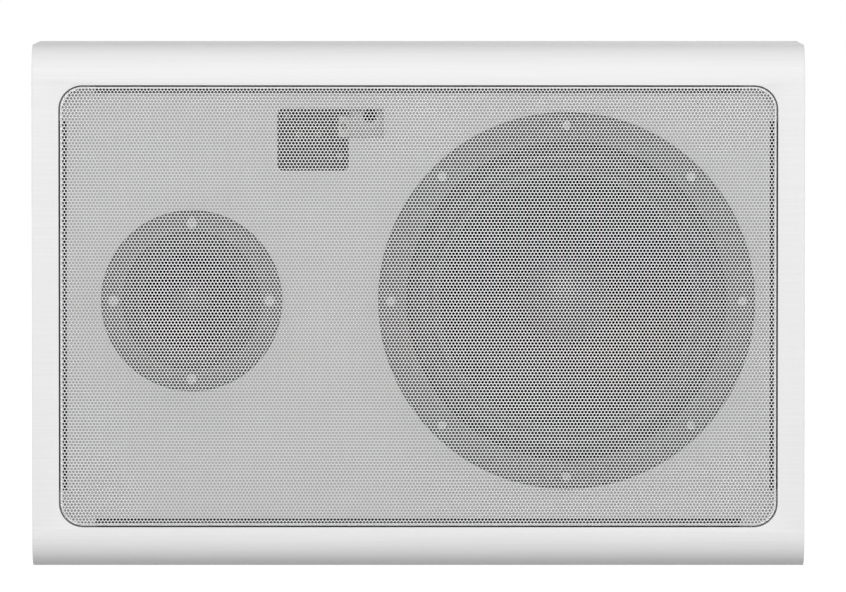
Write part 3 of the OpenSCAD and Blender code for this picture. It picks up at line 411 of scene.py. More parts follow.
def flex(obj, body, centre, fixed_r, moving_r):
    """Bends a spun piece between the cabinet and a moving body, by distance from its axis."""
    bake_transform(obj, "cabinet", body, start=(0, 0, 0), end=(0, -1, 0))
    spots = spots_of(obj.data)
    radius = np.hypot(spots[:, 0] - centre[0], spots[:, 2] - centre[1])
    share = np.clip((fixed_r - radius) / (fixed_r - moving_r), 0, 1)
    weight = share * share * (3 - 2 * share)
    obj.data.attributes["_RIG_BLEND"].data.foreach_set("value", weight.astype(np.float32))


# Finishes


def add(tree, kind, **values):
    """A shader node, with its inputs or settings by name."""
    node = tree.nodes.new(kind)
    for key, value in values.items():
        socket = key.replace("_", " ").title()
        if socket in node.inputs:
            node.inputs[socket].default_value = value
        else:
            setattr(node, key, value)
    return node


def base(name, shade, roughness, metallic=0.0, specular=0.5):
    """A new material with the plain values of its shader set."""
    material = bpy.data.materials.new(name)
    material.use_nodes = True
    material.diffuse_color = (*shade, 1)
    shader = material.node_tree.nodes["Principled BSDF"]
    shader.inputs["Base Color"].default_value = (*shade, 1)
    shader.inputs["Roughness"].default_value = roughness
    shader.inputs["Metallic"].default_value = metallic
    shader.inputs["Specular IOR Level"].default_value = specular
    return material, material.node_tree, shader


def grain(tree, scale, stretch=(1, 1, 1), detail=4.0, kind="ShaderNodeTexNoise"):
    """A pattern on Object coordinates, about as many repeats a metre as scale says."""
    place = add(tree, "ShaderNodeTexCoord")
    mapping = add(tree, "ShaderNodeMapping")
    mapping.inputs["Scale"].default_value = stretch
    pattern = add(tree, kind)
    pattern.inputs["Scale"].default_value = scale
    if "Detail" in pattern.inputs:
        pattern.inputs["Detail"].default_value = detail
    tree.links.new(place.outputs["Object"], mapping.inputs["Vector"])
    tree.links.new(mapping.outputs["Vector"], pattern.inputs["Vector"])
    name = "Distance" if kind == "ShaderNodeTexVoronoi" else "Fac"
    return pattern.outputs[name]


def ranged(tree, source, low, high, start=0.3, end=0.7):
    """source's values from start to end, spread from low to high."""
    spread = add(tree, "ShaderNodeMapRange")
    spread.inputs["From Min"].default_value = start
    spread.inputs["From Max"].default_value = end
    spread.inputs["To Min"].default_value = low
    spread.inputs["To Max"].default_value = high
    tree.links.new(source, spread.inputs["Value"])
    return spread.outputs["Result"]


def colour_mix(tree, shader, share):
    """Mixes two colours into the base colour by a share. Gives their sockets and the mix."""
    mix = add(tree, "ShaderNodeMix", data_type="RGBA")
    factor = [s for s in mix.inputs if s.name == "Factor" and s.type == "VALUE"][0]
    first, second = [s for s in mix.inputs if s.type == "RGBA"]
    result = [s for s in mix.outputs if s.type == "RGBA"][0]
    tree.links.new(share, factor)
    tree.links.new(result, shader.inputs["Base Color"])
    return first, second, result


def dimmed(shade, share):
    """A colour times a share, as a socket takes it."""
    return (*[min(c * share, 1) for c in shade], 1)


def tinted(tree, shader, source, shade, spread):
    """Base colour that drifts by a share of itself with the pattern."""
    dark, light, result = colour_mix(tree, shader, ranged(tree, source, 0, 1))
    dark.default_value = dimmed(shade, 1 - spread)
    light.default_value = dimmed(shade, 1 + spread)
    return result


def roughened(tree, shader, source, low, high):
    """Roughness from low to high with the pattern."""
    tree.links.new(ranged(tree, source, low, high), shader.inputs["Roughness"])


def waves(tree, direction, period, distortion, **values):
    """Bands across one of the object's own axes."""
    place = add(tree, "ShaderNodeTexCoord")
    wave = add(tree, "ShaderNodeTexWave", bands_direction=direction, **values)
    wave.inputs["Scale"].default_value = 1 / (period * WAVES_A_UNIT)
    wave.inputs["Distortion"].default_value = distortion
    tree.links.new(place.outputs["Object"], wave.inputs["Vector"])
    return wave.outputs["Fac"]


def bumped(tree, shader, source, depth, strength=1.0):
    """Relief of a depth in metres from a pattern."""
    bump = add(tree, "ShaderNodeBump")
    bump.inputs["Strength"].default_value = strength
    bump.inputs["Distance"].default_value = depth
    tree.links.new(source, bump.inputs["Height"])
    tree.links.new(bump.outputs["Normal"], shader.inputs["Normal"])


def brushed_paint(name, shade):
    """Satin paint over metal brushed along the cabinet's width."""
    material, tree, shader = base(name, shade, 0.45, specular=0.15)
    brushing = grain(tree, 900, (0.012, 1, 1), 3.0)
    tinted(tree, shader, brushing, shade, 0.018)
    roughened(tree, shader, brushing, 0.42, 0.5)
    bumped(tree, shader, grain(tree, 1400, (0.02, 1, 1), 2.0), 0.004 * MM, 0.5)
    return material


def powder_coat(name, shade, roughness=0.5):
    """Powder coat with its fine orange peel."""
    material, tree, shader = base(name, shade, roughness, specular=0.15)
    peel = grain(tree, 1100, detail=2.0)
    tinted(tree, shader, grain(tree, 40), shade, 0.012)
    roughened(tree, shader, peel, roughness - 0.05, roughness + 0.05)
    bumped(tree, shader, peel, 0.01 * MM, 0.4)
    return material


def rolled_paint_with_cut_shade(name, shade, front_y, shade_in_cuts=0.8):
    """Rolled paint on fibreboard, with the roller's stipple, and painted shade: the colour turns darker in
    the routed cuts behind the face.
    """
    cut_starts, cut_full = 0.5 * MM, 3 * MM
    material, tree, shader = base(name, shade, 0.6, specular=0.15)
    stipple = grain(tree, 500, detail=3.0)
    rolled = tinted(tree, shader, grain(tree, 25), shade, 0.02)
    place = add(tree, "ShaderNodeTexCoord")
    split = add(tree, "ShaderNodeSeparateXYZ")
    tree.links.new(place.outputs["Object"], split.inputs["Vector"])
    # Painted shade: a mask that grows with depth behind the baffle's face
    depth = ranged(
        tree, split.outputs["Y"], 0, 1, front_y + cut_starts, front_y + cut_full
    )
    face, cut, _ = colour_mix(tree, shader, depth)
    tree.links.new(rolled, face)
    # Painted shade: the colour in the cuts is dimmed so that grooves and recesses look shaded
    cut.default_value = dimmed(shade, shade_in_cuts)
    roughened(tree, shader, stipple, 0.55, 0.68)
    bumped(tree, shader, stipple, 0.04 * MM, 0.5)
    return material


def fibreboard(name, shade):
    """Sealed fibreboard with short fibres showing through."""
    material, tree, shader = base(name, shade, 0.7, specular=0.3)
    fibres = grain(tree, 900, (1, 1, 0.35), 6.0)
    tinted(tree, shader, fibres, shade, 0.28)
    roughened(tree, shader, fibres, 0.6, 0.8)
    bumped(tree, shader, fibres, 0.05 * MM, 0.6)
    return material


def plated(name, shade, roughness=0.32, stretch=(1, 1, 1)):
    """Plated steel with faint tool marks and cloudy plating."""
    material, tree, shader = base(name, shade, roughness, metallic=1.0)
    cloud = grain(tree, 260, stretch)
    tinted(tree, shader, cloud, shade, 0.08)
    marks = grain(tree, 2600, stretch, 3.0)
    roughened(tree, shader, marks, roughness - 0.08, roughness + 0.1)
    bumped(tree, shader, marks, 0.006 * MM, 0.5)
    return material


def moulded(name, shade, roughness=0.5, spread=0.05, specular=0.3):
    """Moulded plastic with a fine spark-eroded texture."""
    material, tree, shader = base(name, shade, roughness, specular=specular)
    texture = grain(tree, 1500, detail=2.0)
    tinted(tree, shader, grain(tree, 90), shade, spread)
    roughened(tree, shader, texture, roughness - 0.06, roughness + 0.06)
    bumped(tree, shader, texture, 0.02 * MM, 0.5)
    return material


def rubber(name, shade, roughness=0.6, specular=0.2):
    """Rubber with a dusty bloom."""
    material, tree, shader = base(name, shade, roughness, specular=specular)
    bloom = grain(tree, 60, detail=6.0)
    tinted(tree, shader, bloom, shade, 0.25)
    roughened(tree, shader, bloom, roughness - 0.08, roughness + 0.08)
    bumped(tree, shader, grain(tree, 1800), 0.01 * MM, 0.4)
    return material


def paper(name, shade, roughness=0.75, specular=0.12):
    """Pressed paper pulp with felted fibres."""
    material, tree, shader = base(name, shade, roughness, specular=specular)
    felt = grain(tree, 700, detail=8.0)
    tinted(tree, shader, felt, shade, 0.3)
    roughened(tree, shader, felt, roughness - 0.1, roughness + 0.1)
    bumped(tree, shader, felt, 0.08 * MM, 0.6)
    return material


def woven(name, shade, thread=0.4935 * MM):
    """Resin-dipped cloth with warp and weft."""
    material, tree, shader = base(name, shade, 0.8, specular=0.2)
    cross = add(tree, "ShaderNodeMath", operation="MAXIMUM")
    for socket, direction in zip(cross.inputs, ("X", "Z")):
        tree.links.new(waves(tree, direction, thread, 0.6), socket)
    tinted(tree, shader, cross.outputs["Value"], shade, 0.2)
    bumped(tree, shader, cross.outputs["Value"], 0.12 * MM, 0.7)
    return material


def wound_wire(name, shade, wire=0.8 * MM):
    """Enamelled wire wound turn beside turn along a coil's axis."""
    material, tree, shader = base(name, shade, 0.3, metallic=1.0)
    turns = waves(tree, "Y", wire, 0.2, wave_profile="SIN")
    tinted(tree, shader, turns, shade, 0.3)
    roughened(tree, shader, grain(tree, 300), 0.25, 0.4)
    bumped(tree, shader, turns, 0.2 * MM, 0.8)
    return material


def wool(name, shade):
    """Loose polyester wadding."""
    material, tree, shader = base(name, shade, 0.95, specular=0.1)
    shader.inputs["Sheen Weight"].default_value = 0.3
    tangle = grain(tree, 420, detail=10.0)
    tinted(tree, shader, tangle, shade, 0.12)
    bumped(tree, shader, tangle, 0.8 * MM, 0.8)
    return material


def fired(name, shade, roughness=0.7):
    """Fired ceramic or ferrite with fine pores."""
    material, tree, shader = base(name, shade, roughness, specular=0.4)
    pores = grain(tree, 1600, kind="ShaderNodeTexVoronoi")
    tinted(tree, shader, grain(tree, 240, detail=6.0), shade, 0.14)
    roughened(tree, shader, grain(tree, 500), roughness - 0.08, roughness + 0.08)
    bumped(tree, shader, pores, 0.02 * MM, 0.4)
    return material


def laminate(name, shade):
    """Solder-masked circuit board over glass cloth."""
    material, tree, shader = base(name, shade, 0.35)
    cloth = grain(tree, 1200, (1, 1, 0.2))
    tinted(tree, shader, cloth, shade, 0.15)
    roughened(tree, shader, cloth, 0.3, 0.42)
    bumped(tree, shader, cloth, 0.01 * MM, 0.4)
    return material


def finishes(settings):
    """Every finish of the speaker by name. A slot of the record has the finish of its name."""
    face_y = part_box("baffle")[0].y
    recipes = {
        "cabinet_finish": (brushed_paint, settings.cabinet),
        "plated_screws": (plated, (0.15, 0.15, 0.147), 0.42),
        # The baffle's finish has painted shade in its cuts
        "baffle_paint": (rolled_paint_with_cut_shade, settings.baffle, face_y),
        "rear_board": (fibreboard, settings.rear),
        "plated_steel": (plated, (0.58, 0.58, 0.57), 0.38, (0.1, 1, 1)),
        "black_screws": (plated, (0.05, 0.05, 0.052), 0.45),
        "black_plastic": (moulded, (0.02, 0.02, 0.021)),
        "tube_plastic": (moulded, (0.008, 0.008, 0.008), 0.85, 0.05, 0.05),
        "wadding": (wool, (0.7, 0.7, 0.68)),
        "grille_paint": (powder_coat, settings.grille),
        "black_rubber": (rubber, (0.012, 0.012, 0.012)),
        "tray_plastic": (moulded, settings.tray, 0.55),
        "terminal_metal": (plated, (0.1, 0.096, 0.088), 0.4),
        "pale_nylon": (moulded, (0.5, 0.495, 0.48), 0.5),
        "circuit_board": (laminate, (0.02, 0.13, 0.05)),
        "enamelled_copper": (wound_wire, (0.62, 0.25, 0.1)),
        "film_capacitor": (moulded, (0.6, 0.45, 0.08), 0.35),
        "cement_resistor": (fired, (0.62, 0.6, 0.54)),
        "lead_jacket": (moulded, (0.35, 0.02, 0.02), 0.4),
        "driver_frame": (powder_coat, settings.frame, 0.55),
        "surround_rubber": (rubber, settings.rubber, 0.42, 0.4),
        "cone_paper": (paper, settings.cone),
        "cap_paper": (paper, settings.cone, 0.34, 0.45),
        "coil_former": (paper, (0.4, 0.22, 0.08)),
        "spider_cloth": (woven, (0.45, 0.26, 0.07)),
        "ferrite": (fired, (0.03, 0.03, 0.032)),
        "tag_fibre": (laminate, (0.32, 0.2, 0.1)),
        "driver_screws": (plated, (0.3, 0.3, 0.302), 0.42),
    }
    return {name: make(name, *values) for name, (make, *values) in recipes.items()}


FINISH = {}


def dress(obj, body, slot, *nodes):
    """Gives a new piece its finish and its body, and hides the CAD nodes that it stands for."""
    obj.data.materials.clear()
    obj.data.materials.append(FINISH[slot])
    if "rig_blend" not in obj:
        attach(obj, body)
    if nodes:
        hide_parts(*nodes)
    return obj


def finish_nodes(slot, *nodes):
    """Gives CAD nodes a finish."""
    for name in nodes:
        node = frame["nodes"][name]
        for holder in node.material_slots:
            holder.link = "OBJECT"
            holder.material = FINISH[slot]


# Pieces


def begin(context):
    """Makes the finishes once, and gives the scene that holds the settings."""
    if not FINISH:
        FINISH.update(finishes(context.scene.speaker_finish))
    return context.scene


class SPEAKER_OT_sleeve(bpy.types.Operator):
    """Break the edge of the opening in the extruded sleeve and paint it"""

    bl_idname = "speaker.sleeve"
    bl_label = "Sleeve"
    bl_options = {"REGISTER", "UNDO"}

    def execute(self, context):
        scene = begin(context)
        sizes = scene.speaker_cabinet
        low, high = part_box("sleeve")
        sleeve = copy_of("sleeve", "sleeve_painted")
        at_front = low.y + ON_PLANE
        inside_x = high.x - 5 * MM

        def opening_rim(a, b):
            return all(
                p.y < at_front and abs(p.x) < inside_x and abs(p.z) < sizes.front_edge_z
                for p in (a, b)
            )

        pick(sleeve, "EDGE", opening_rim)
        bpy.ops.mesh.bevel(
            offset=sizes.opening_break, segments=3, affect="EDGES", clamp_overlap=True
        )
        settle(sleeve)
        dress(sleeve, "cabinet", "cabinet_finish", "sleeve")
        return {"FINISHED"}


class SPEAKER_OT_end_caps(bpy.types.Operator):
    """Break the edges of the two end caps and paint them"""

    bl_idname = "speaker.end_caps"
    bl_label = "End caps"
    bl_options = {"REGISTER", "UNDO"}

    def execute(self, context):
        scene = begin(context)
        sizes = scene.speaker_cabinet
        for side in ("left", "right"):
            node = f"end_cap_{side}"
            low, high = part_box(node)
            cap = copy_of(node, f"{node}_painted")
            outer_x = low.x if side == "left" else high.x

            def outline(p):
                """True on the outline of the cap's outer face, clear of the screws."""
                if abs(p.x - outer_x) > ON_PLANE:
                    return False
                from_edge = min(high.z - abs(p.z), p.y - low.y, high.y - p.y)
                return from_edge < 2 * ON_PLANE or (
                    p.y < low.y + sizes.cap_bend and abs(p.z) > high.z - sizes.cap_bend
                )

            pick(cap, "EDGE", lambda a, b: outline(a) and outline(b))
            bpy.ops.mesh.bevel(
                offset=sizes.cap_break, segments=2, affect="EDGES", clamp_overlap=True
            )
            settle(cap)
            dress(cap, "cabinet", "cabinet_finish", node)
        finish_nodes("plated_screws", "end_cap_screws")
        return {"FINISHED"}


class SPEAKER_OT_grille(bpy.types.Operator):
    """Punch, fold and coat the grille"""

    bl_idname = "speaker.grille"
    bl_label = "Grille"
    bl_options = {"REGISTER", "UNDO"}
    # Columns of holes after which the face is parted into strips of fewer triangles
    last_columns = (-63, -21, 20, 62)
    chords = 10  # straight cuts round each corner of the flat sheet
    most_depth = 1.25  # sheet thicknesses

    def cell(self, sizes):
        """The webs round two neighbouring holes, the unit that repeats."""
        pitch, row = sizes.pitch, sizes.row
        # Corner radius of a hexagon of the round hole's area
        corner_r = sizes.hole / 2 * math.sqrt(math.pi / (1.5 * math.sqrt(3)))
        holes = [
            (0, 0), (1, 0), (0.5, 1), (-0.5, 1), (1.5, 1), (0, 2), (1, 2),
        ]
        deselect()
        rings = []
        for across, up in holes:
            bpy.ops.mesh.primitive_circle_add(
                vertices=6,
                radius=corner_r,
                location=(across * pitch, 0, up * row),
                rotation=(math.pi / 2, 0, 0),
            )
            rings.append(fresh("ring"))
        for ring in rings:
            ring.select_set(True)
        bpy.ops.object.join()
        webs = bpy.context.object
        links = [
            ((0, 0), (1, 0)), ((0, 0), (0.5, 1)), ((0, 0), (-0.5, 1)),
            ((0.5, 1), (1.5, 1)), ((0.5, 1), (1, 2)), ((0.5, 1), (0, 2)),
        ]
        joints = [
            ((0, 0), (1, 0), (0.5, 1)), ((0, 0), (0.5, 1), (-0.5, 1)),
            ((0.5, 1), (1.5, 1), (1, 2)), ((0.5, 1), (1, 2), (0, 2)),
        ]
        half_gap = math.hypot(pitch / 2 - corner_r * math.cos(math.pi / 6), corner_r / 2)
        slack = 1.05
        reach = {2: half_gap * slack, 3: (pitch / math.sqrt(3) - corner_r) * slack}
        for group in links + joints:
            middle = Vector((
                sum(g[0] for g in group) / len(group) * pitch,
                0,
                sum(g[1] for g in group) / len(group) * row,
            ))
            near = reach[len(group)]
            pick(webs, "VERT", lambda p: (p - middle).length < near)
            bpy.ops.mesh.edge_face_add()
            leave()
        pick_all(webs)
        bpy.ops.mesh.delete_loose(use_verts=True, use_edges=True, use_faces=False)
        bpy.ops.mesh.select_all(action="SELECT")
        bpy.ops.mesh.normals_make_consistent(inside=False)
        leave()
        return webs

    def trim(self, sheet, point, normal, chosen):
        """Cuts away what lies beyond a plane, on the chosen faces."""
        pick(sheet, "FACE", chosen)
        bpy.ops.mesh.bisect(
            plane_co=point, plane_no=normal, clear_outer=True, threshold=BISECT_SNAP
        )
        leave()

    def part_at(self, sheet, point, normal):
        """Draws an edge across the sheet where a plane meets it."""
        pick_all(sheet)
        bpy.ops.mesh.bisect(plane_co=point, plane_no=normal, threshold=BISECT_SNAP)
        leave()

    def execute(self, context):
        scene = begin(context)
        sizes = scene.speaker_grille
        low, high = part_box("grille")
        half_w, half_h, face_y = high.x, high.z, low.y
        row = sizes.row
        cuts = [
            sizes.column_shift + sizes.pitch * (column + 0.25)
            for column in self.last_columns
        ]
        inner_r = sizes.corner - sizes.bend
        arc = sizes.bend * math.pi / 2
        trim_r = inner_r + arc + sizes.past_bend
        core_w, core_h = half_w - sizes.corner, half_h - sizes.corner
        edge_x, edge_z = core_w + trim_r, core_h + trim_r

        sheet = self.cell(sizes)
        columns = math.ceil(2 * edge_x / sizes.pitch) + 3
        rows = math.ceil(edge_z / row) + 2
        for times, step in ((columns, (sizes.pitch, 0, 0)), (rows, (0, 0, 2 * row))):
            apply_modifier(
                sheet,
                "ARRAY",
                count=times,
                use_relative_offset=False,
                use_constant_offset=True,
                constant_offset_displace=step,
                use_merge_vertices=True,
                merge_threshold=0.005 * MM,
            )
        spots = spots_of(sheet.data)
        spots[:, 0] += sizes.column_shift - sizes.pitch * (columns // 2)
        spots[:, 2] += sizes.row_shift - 2 * row * (rows // 2)
        place_spots(sheet.data, spots)

        for normal, reach in (((1, 0, 0), edge_x), ((0, 0, 1), edge_z)):
            for side in (-1, 1):
                way = Vector(normal) * side
                everywhere = np.ones(len(sheet.data.polygons), bool)
                self.trim(sheet, way * reach, way, everywhere)
        for side_x in (-1, 1):
            for side_z in (-1, 1):
                centre = Vector((side_x * core_w, 0, side_z * core_h))

                def in_corner(p, n):
                    return p.x * side_x > core_w - MM and p.z * side_z > core_h - MM

                for i in range(self.chords):
                    turn = (i + 0.5) * math.pi / 2 / self.chords
                    way = Vector((side_x * math.cos(turn), 0, side_z * math.sin(turn)))
                    self.trim(sheet, centre + way * trim_r, way, in_corner)
        for cut in cuts:
            self.part_at(sheet, (cut, 0, 0), (1, 0, 0))

        # Fold the margin back round the face
        spots = spots_of(sheet.data)
        core = np.clip(spots[:, [0, 2]], (-core_w, -core_h), (core_w, core_h))
        away = spots[:, [0, 2]] - core
        reach = np.hypot(away[:, 0], away[:, 1])
        near_trim = 0.06 * MM
        beyond = np.where(
            reach > trim_r - near_trim, arc + sizes.past_bend, reach - inner_r
        )
        turn = np.clip(beyond / sizes.bend, 0, math.pi / 2)
        folded_r = np.where(beyond > 0, inner_r + sizes.bend * np.sin(turn), reach)
        scale = folded_r / np.maximum(reach, 1e-9)
        spots[:, [0, 2]] = core + away * scale[:, None]
        spots[:, 1] = (
            face_y
            + sizes.bend * (1 - np.cos(turn))
            + np.clip(beyond - arc, 0, None)
        )
        place_spots(sheet.data, spots)
        self.face_outward(sheet)
        self.split(sheet, sizes, cuts)
        self.lip(sizes, half_w, half_h, face_y, face_y + sizes.bend + sizes.past_bend)
        finish_nodes("black_rubber", "grille_strips")
        return {"FINISHED"}

    def face_outward(self, sheet):
        """Turns the sheet's faces to the front."""
        normals = np.empty(len(sheet.data.polygons) * 3)
        sheet.data.polygons.foreach_get("normal", normals)
        if normals[1::3].mean() > 0:
            pick_all(sheet)
            bpy.ops.mesh.flip_normals()
            leave()

    def split(self, sheet, sizes, cuts):
        """Parts the sheet along the cuts, and gives each part its thickness."""
        for number, cut in enumerate((*cuts, None)):
            if cut is None:
                part = sheet
            else:
                centres = np.empty(len(sheet.data.polygons) * 3)
                sheet.data.polygons.foreach_get("center", centres)
                pick(sheet, "FACE", centres[0::3] < cut)
                bpy.ops.mesh.separate(type="SELECTED")
                leave()
                part = [o for o in bpy.context.selected_objects if o != sheet][0]
            part.name = f"grille_face_{number + 1}"
            part.data.name = part.name
            apply_modifier(
                part,
                "SOLIDIFY",
                thickness=sizes.sheet,
                offset=-1.0,
                use_even_offset=True,
            )
            self.keep_inside(part, sizes.sheet)
            take(part)
            bpy.ops.object.shade_smooth_by_angle(angle=math.radians(70))
            dress(part, "grille_panel", "grille_paint", "grille")

    def keep_inside(self, part, sheet):
        """Holds the webs' inner side near the outer one, and all in the grille's box."""
        low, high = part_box("grille")
        spots = spots_of(part.data)
        outer, inner = np.split(spots, 2)
        depth = inner - outer
        reach = np.linalg.norm(depth, axis=1, keepdims=True)
        depth *= np.minimum(1, self.most_depth * sheet / np.maximum(reach, 1e-9))
        spots = np.concatenate((outer, outer + depth))
        place_spots(part.data, np.clip(spots, low, high))

    def lip(self, sizes, half_w, half_h, face_y, front_y):
        """The rest of the lip behind the fold, with the four tongues."""
        back_y = face_y + sizes.lip
        low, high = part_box("grille")
        lip = block(
            "grille_lip", (-half_w, front_y, -half_h), (half_w, back_y, half_h)
        )
        pick(lip, "EDGE", lambda a, b: abs(a.y - b.y) > MM)
        bpy.ops.mesh.bevel(offset=sizes.corner, segments=16, affect="EDGES")
        leave()
        pick(lip, "FACE", lambda p, n: abs(n.y) > 0.9)
        bpy.ops.mesh.delete(type="FACE")
        leave()
        for normal, reach in (
            ((1, 0, 0), sizes.tongue_w / 2),
            ((0, 0, 1), sizes.tongue_h / 2),
        ):
            for side in (-1, 1):
                way = Vector(normal) * side
                self.part_at(lip, way * reach, way)

        def tongue_root(a, b):
            at_back = min(a.y, b.y) > back_y - ON_PLANE
            along_w = max(abs(a.x), abs(b.x)) < sizes.tongue_w / 2 + ON_PLANE
            along_h = max(abs(a.z), abs(b.z)) < sizes.tongue_h / 2 + ON_PLANE
            return at_back and (along_w or along_h)

        pick(lip, "EDGE", tongue_root)
        bpy.ops.mesh.extrude_edges_move(
            TRANSFORM_OT_translate={"value": (0, high.y - back_y, 0)}
        )
        leave()
        pick_all(lip)
        bpy.ops.mesh.normals_make_consistent(inside=False)
        leave()
        apply_modifier(
            lip, "SOLIDIFY", thickness=sizes.sheet, offset=-1.0, use_even_offset=True
        )
        settle(lip)
        dress(lip, "grille_panel", "grille_paint", "grille")


class SPEAKER_OT_baffle(bpy.types.Operator):
    """Paint the baffle"""

    bl_idname = "speaker.baffle"
    bl_label = "Baffle"
    bl_options = {"REGISTER", "UNDO"}

    def execute(self, context):
        begin(context)
        finish_nodes("baffle_paint", "baffle")
        return {"FINISHED"}


class DriverPieces:
    """A driver's soft pieces and finishes."""

    roll_steps = 14
    wave_steps = 10
    spider_land = 0.12  # share of the spider's width that is flat at the coil
    glue_gap = 0.05 * MM

    def surround(self, sizes, name, body, frame_node, node):
        """The half roll of rubber between two flat lands."""
        low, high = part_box(frame_node)
        centre = ((low.x + high.x) / 2, (low.z + high.z) / 2)
        low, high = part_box(node)
        outer_r = (high.x - low.x) / 2
        land_y = high.y - sizes.rubber / 2
        roll = [
            (
                sizes.crest + sizes.roll * math.cos(math.pi * i / self.roll_steps),
                land_y - sizes.roll * math.sin(math.pi * i / self.roll_steps),
            )
            for i in range(self.roll_steps + 1)
        ]
        inner_r = sizes.crest - sizes.roll - sizes.inner_land
        profile = [(outer_r, land_y), *roll, (inner_r, land_y)]
        obj = spun(name, centre, profile, sizes.rubber)
        flex(obj, body, centre, sizes.crest + sizes.roll, sizes.crest - sizes.roll)
        dress(obj, body, "surround_rubber", node)
        return centre

    def spider(self, sizes, name, body, centre, node, former_node):
        """The corrugated disc that centres the voice coil."""
        low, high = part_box(node)
        outer_r = (high.x - low.x) / 2
        former_low, former_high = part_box(former_node)
        inner_r = (former_high.x - former_low.x) / 2 + self.glue_gap
        middle_y = (low.y + high.y) / 2
        flat = (outer_r - inner_r) * self.spider_land
        steps = self.wave_steps * sizes.spider_waves
        ripples = [
            (
                inner_r + flat + (outer_r - inner_r - 3 * flat) * i / steps,
                middle_y
                + sizes.spider_swing * math.sin(math.tau * sizes.spider_waves * i / steps),
            )
            for i in range(steps + 1)
        ]
        profile = [(inner_r, middle_y), *ripples, (outer_r, middle_y)]
        obj = spun(name, centre, profile, sizes.spider_cloth)
        flex(obj, body, centre, outer_r - 2 * flat, inner_r + flat)
        dress(obj, body, "spider_cloth", node)

    def motor(self, prefix):
        """Finishes of the pieces that keep their CAD form."""
        for slot, piece in (
            ("driver_frame", "frame"),
            ("cone_paper", "cone"),
            ("cap_paper", "dust_cap"),
            ("coil_former", "former"),
            ("enamelled_copper", "voice_coil"),
            ("plated_steel", "top_plate"),
            ("plated_steel", "yoke"),
            ("ferrite", "magnet"),
            ("tag_fibre", "terminals"),
            ("driver_screws", "screws"),
        ):
            finish_nodes(slot, f"{prefix}_{piece}")


class SPEAKER_OT_woofer(DriverPieces, bpy.types.Operator):
    """Model the woofer's surround and spider, and finish its other pieces"""

    bl_idname = "speaker.woofer"
    bl_label = "Woofer"
    bl_options = {"REGISTER", "UNDO"}

    def execute(self, context):
        scene = begin(context)
        sizes = scene.speaker_woofer
        body = "woofer_moving"
        centre = self.surround(
            sizes, "woofer_surround_rubber", body, "woofer_frame", "woofer_surround"
        )
        self.spider(
            sizes, "woofer_spider_cloth", body, centre, "woofer_spider", "woofer_former"
        )
        self.motor("woofer")
        finish_nodes("black_rubber", "woofer_gasket")
        return {"FINISHED"}


class SPEAKER_OT_midrange(DriverPieces, bpy.types.Operator):
    """Model the midrange driver's surround and spider, and finish its other pieces"""

    bl_idname = "speaker.midrange"
    bl_label = "Midrange driver"
    bl_options = {"REGISTER", "UNDO"}

    def execute(self, context):
        scene = begin(context)
        sizes = scene.speaker_midrange
        body = "mid_moving"
        centre = self.surround(
            sizes, "mid_surround_rubber", body, "mid_frame", "mid_surround"
        )
        self.spider(sizes, "mid_spider_cloth", body, centre, "mid_spider", "mid_former")
        self.motor("mid")
        finish_nodes("black_plastic", "mid_chamber")
        finish_nodes("black_screws", "chamber_screws")
        return {"FINISHED"}


class SPEAKER_OT_terminals(bpy.types.Operator):
    """Finish the terminal tray and what it holds"""

    bl_idname = "speaker.terminals"
    bl_label = "Terminal tray"
    bl_options = {"REGISTER", "UNDO"}

    def execute(self, context):
        begin(context)
        finish_nodes("tray_plastic", "input_tray")
        finish_nodes("black_plastic", "terminal_block")
        finish_nodes("terminal_metal", "terminal_screws")
        finish_nodes("pale_nylon", "cable_clamp", "board_spacers")
        finish_nodes("plated_screws", "clamp_screw", "board_screws", "board_nuts")
        finish_nodes("black_screws", "tray_fixing_screws")
        return {"FINISHED"}


class SPEAKER_OT_crossover(bpy.types.Operator):
    """Finish the crossover board, its parts and its leads"""

    bl_idname = "speaker.crossover"
    bl_label = "Crossover"
    bl_options = {"REGISTER", "UNDO"}

    def execute(self, context):
        begin(context)
        finish_nodes("circuit_board", "crossover_board")
        finish_nodes("enamelled_copper", "inductor_large", "inductor_small")
        finish_nodes("film_capacitor", "capacitors")
        finish_nodes("cement_resistor", "resistor")
        finish_nodes("lead_jacket", "input_leads", "woofer_lead", "mid_lead")
        return {"FINISHED"}


class SPEAKER_OT_back(bpy.types.Operator):
    """Finish the rear panel and its fittings, and lay the wadding inside"""

    bl_idname = "speaker.back"
    bl_label = "Back"
    bl_options = {"REGISTER", "UNDO"}

    def execute(self, context):
        begin(context)
        finish_nodes("rear_board", "rear_panel")
        finish_nodes("plated_steel", "hanger_plate_left", "hanger_plate_right")
        finish_nodes("black_screws", "hanger_screws")
        finish_nodes("tube_plastic", "cable_tube")
        self.wadding()
        return {"FINISHED"}

    def wadding(self):
        """A thick soft mat with a rounded, uneven face."""
        low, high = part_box("damping_pad")
        shrink = Vector((2, 1, 2)) * MM
        in_box = 0.1 * MM
        pad = block("wadding_mat", low + shrink, high - shrink)
        pick(pad, "EDGE", lambda a, b: abs(a.y - b.y) > MM)
        bpy.ops.mesh.bevel(offset=12 * MM, segments=4, affect="EDGES")
        leave()
        apply_modifier(pad, "REMESH", mode="VOXEL", voxel_size=5 * MM)
        billow = bpy.data.textures.new("billow", "CLOUDS")
        billow.noise_scale = 0.03
        apply_modifier(
            pad, "DISPLACE", texture=billow, strength=3 * MM, mid_level=0.5,
            texture_coords="LOCAL",
        )
        apply_modifier(pad, "SUBSURF", levels=1, render_levels=1)
        spots = spots_of(pad.data)
        place_spots(
            pad.data, np.clip(spots, np.array(low) + in_box, np.array(high) - in_box)
        )
        settle(pad, 80.0)
        dress(pad, "cabinet", "wadding", "damping_pad")


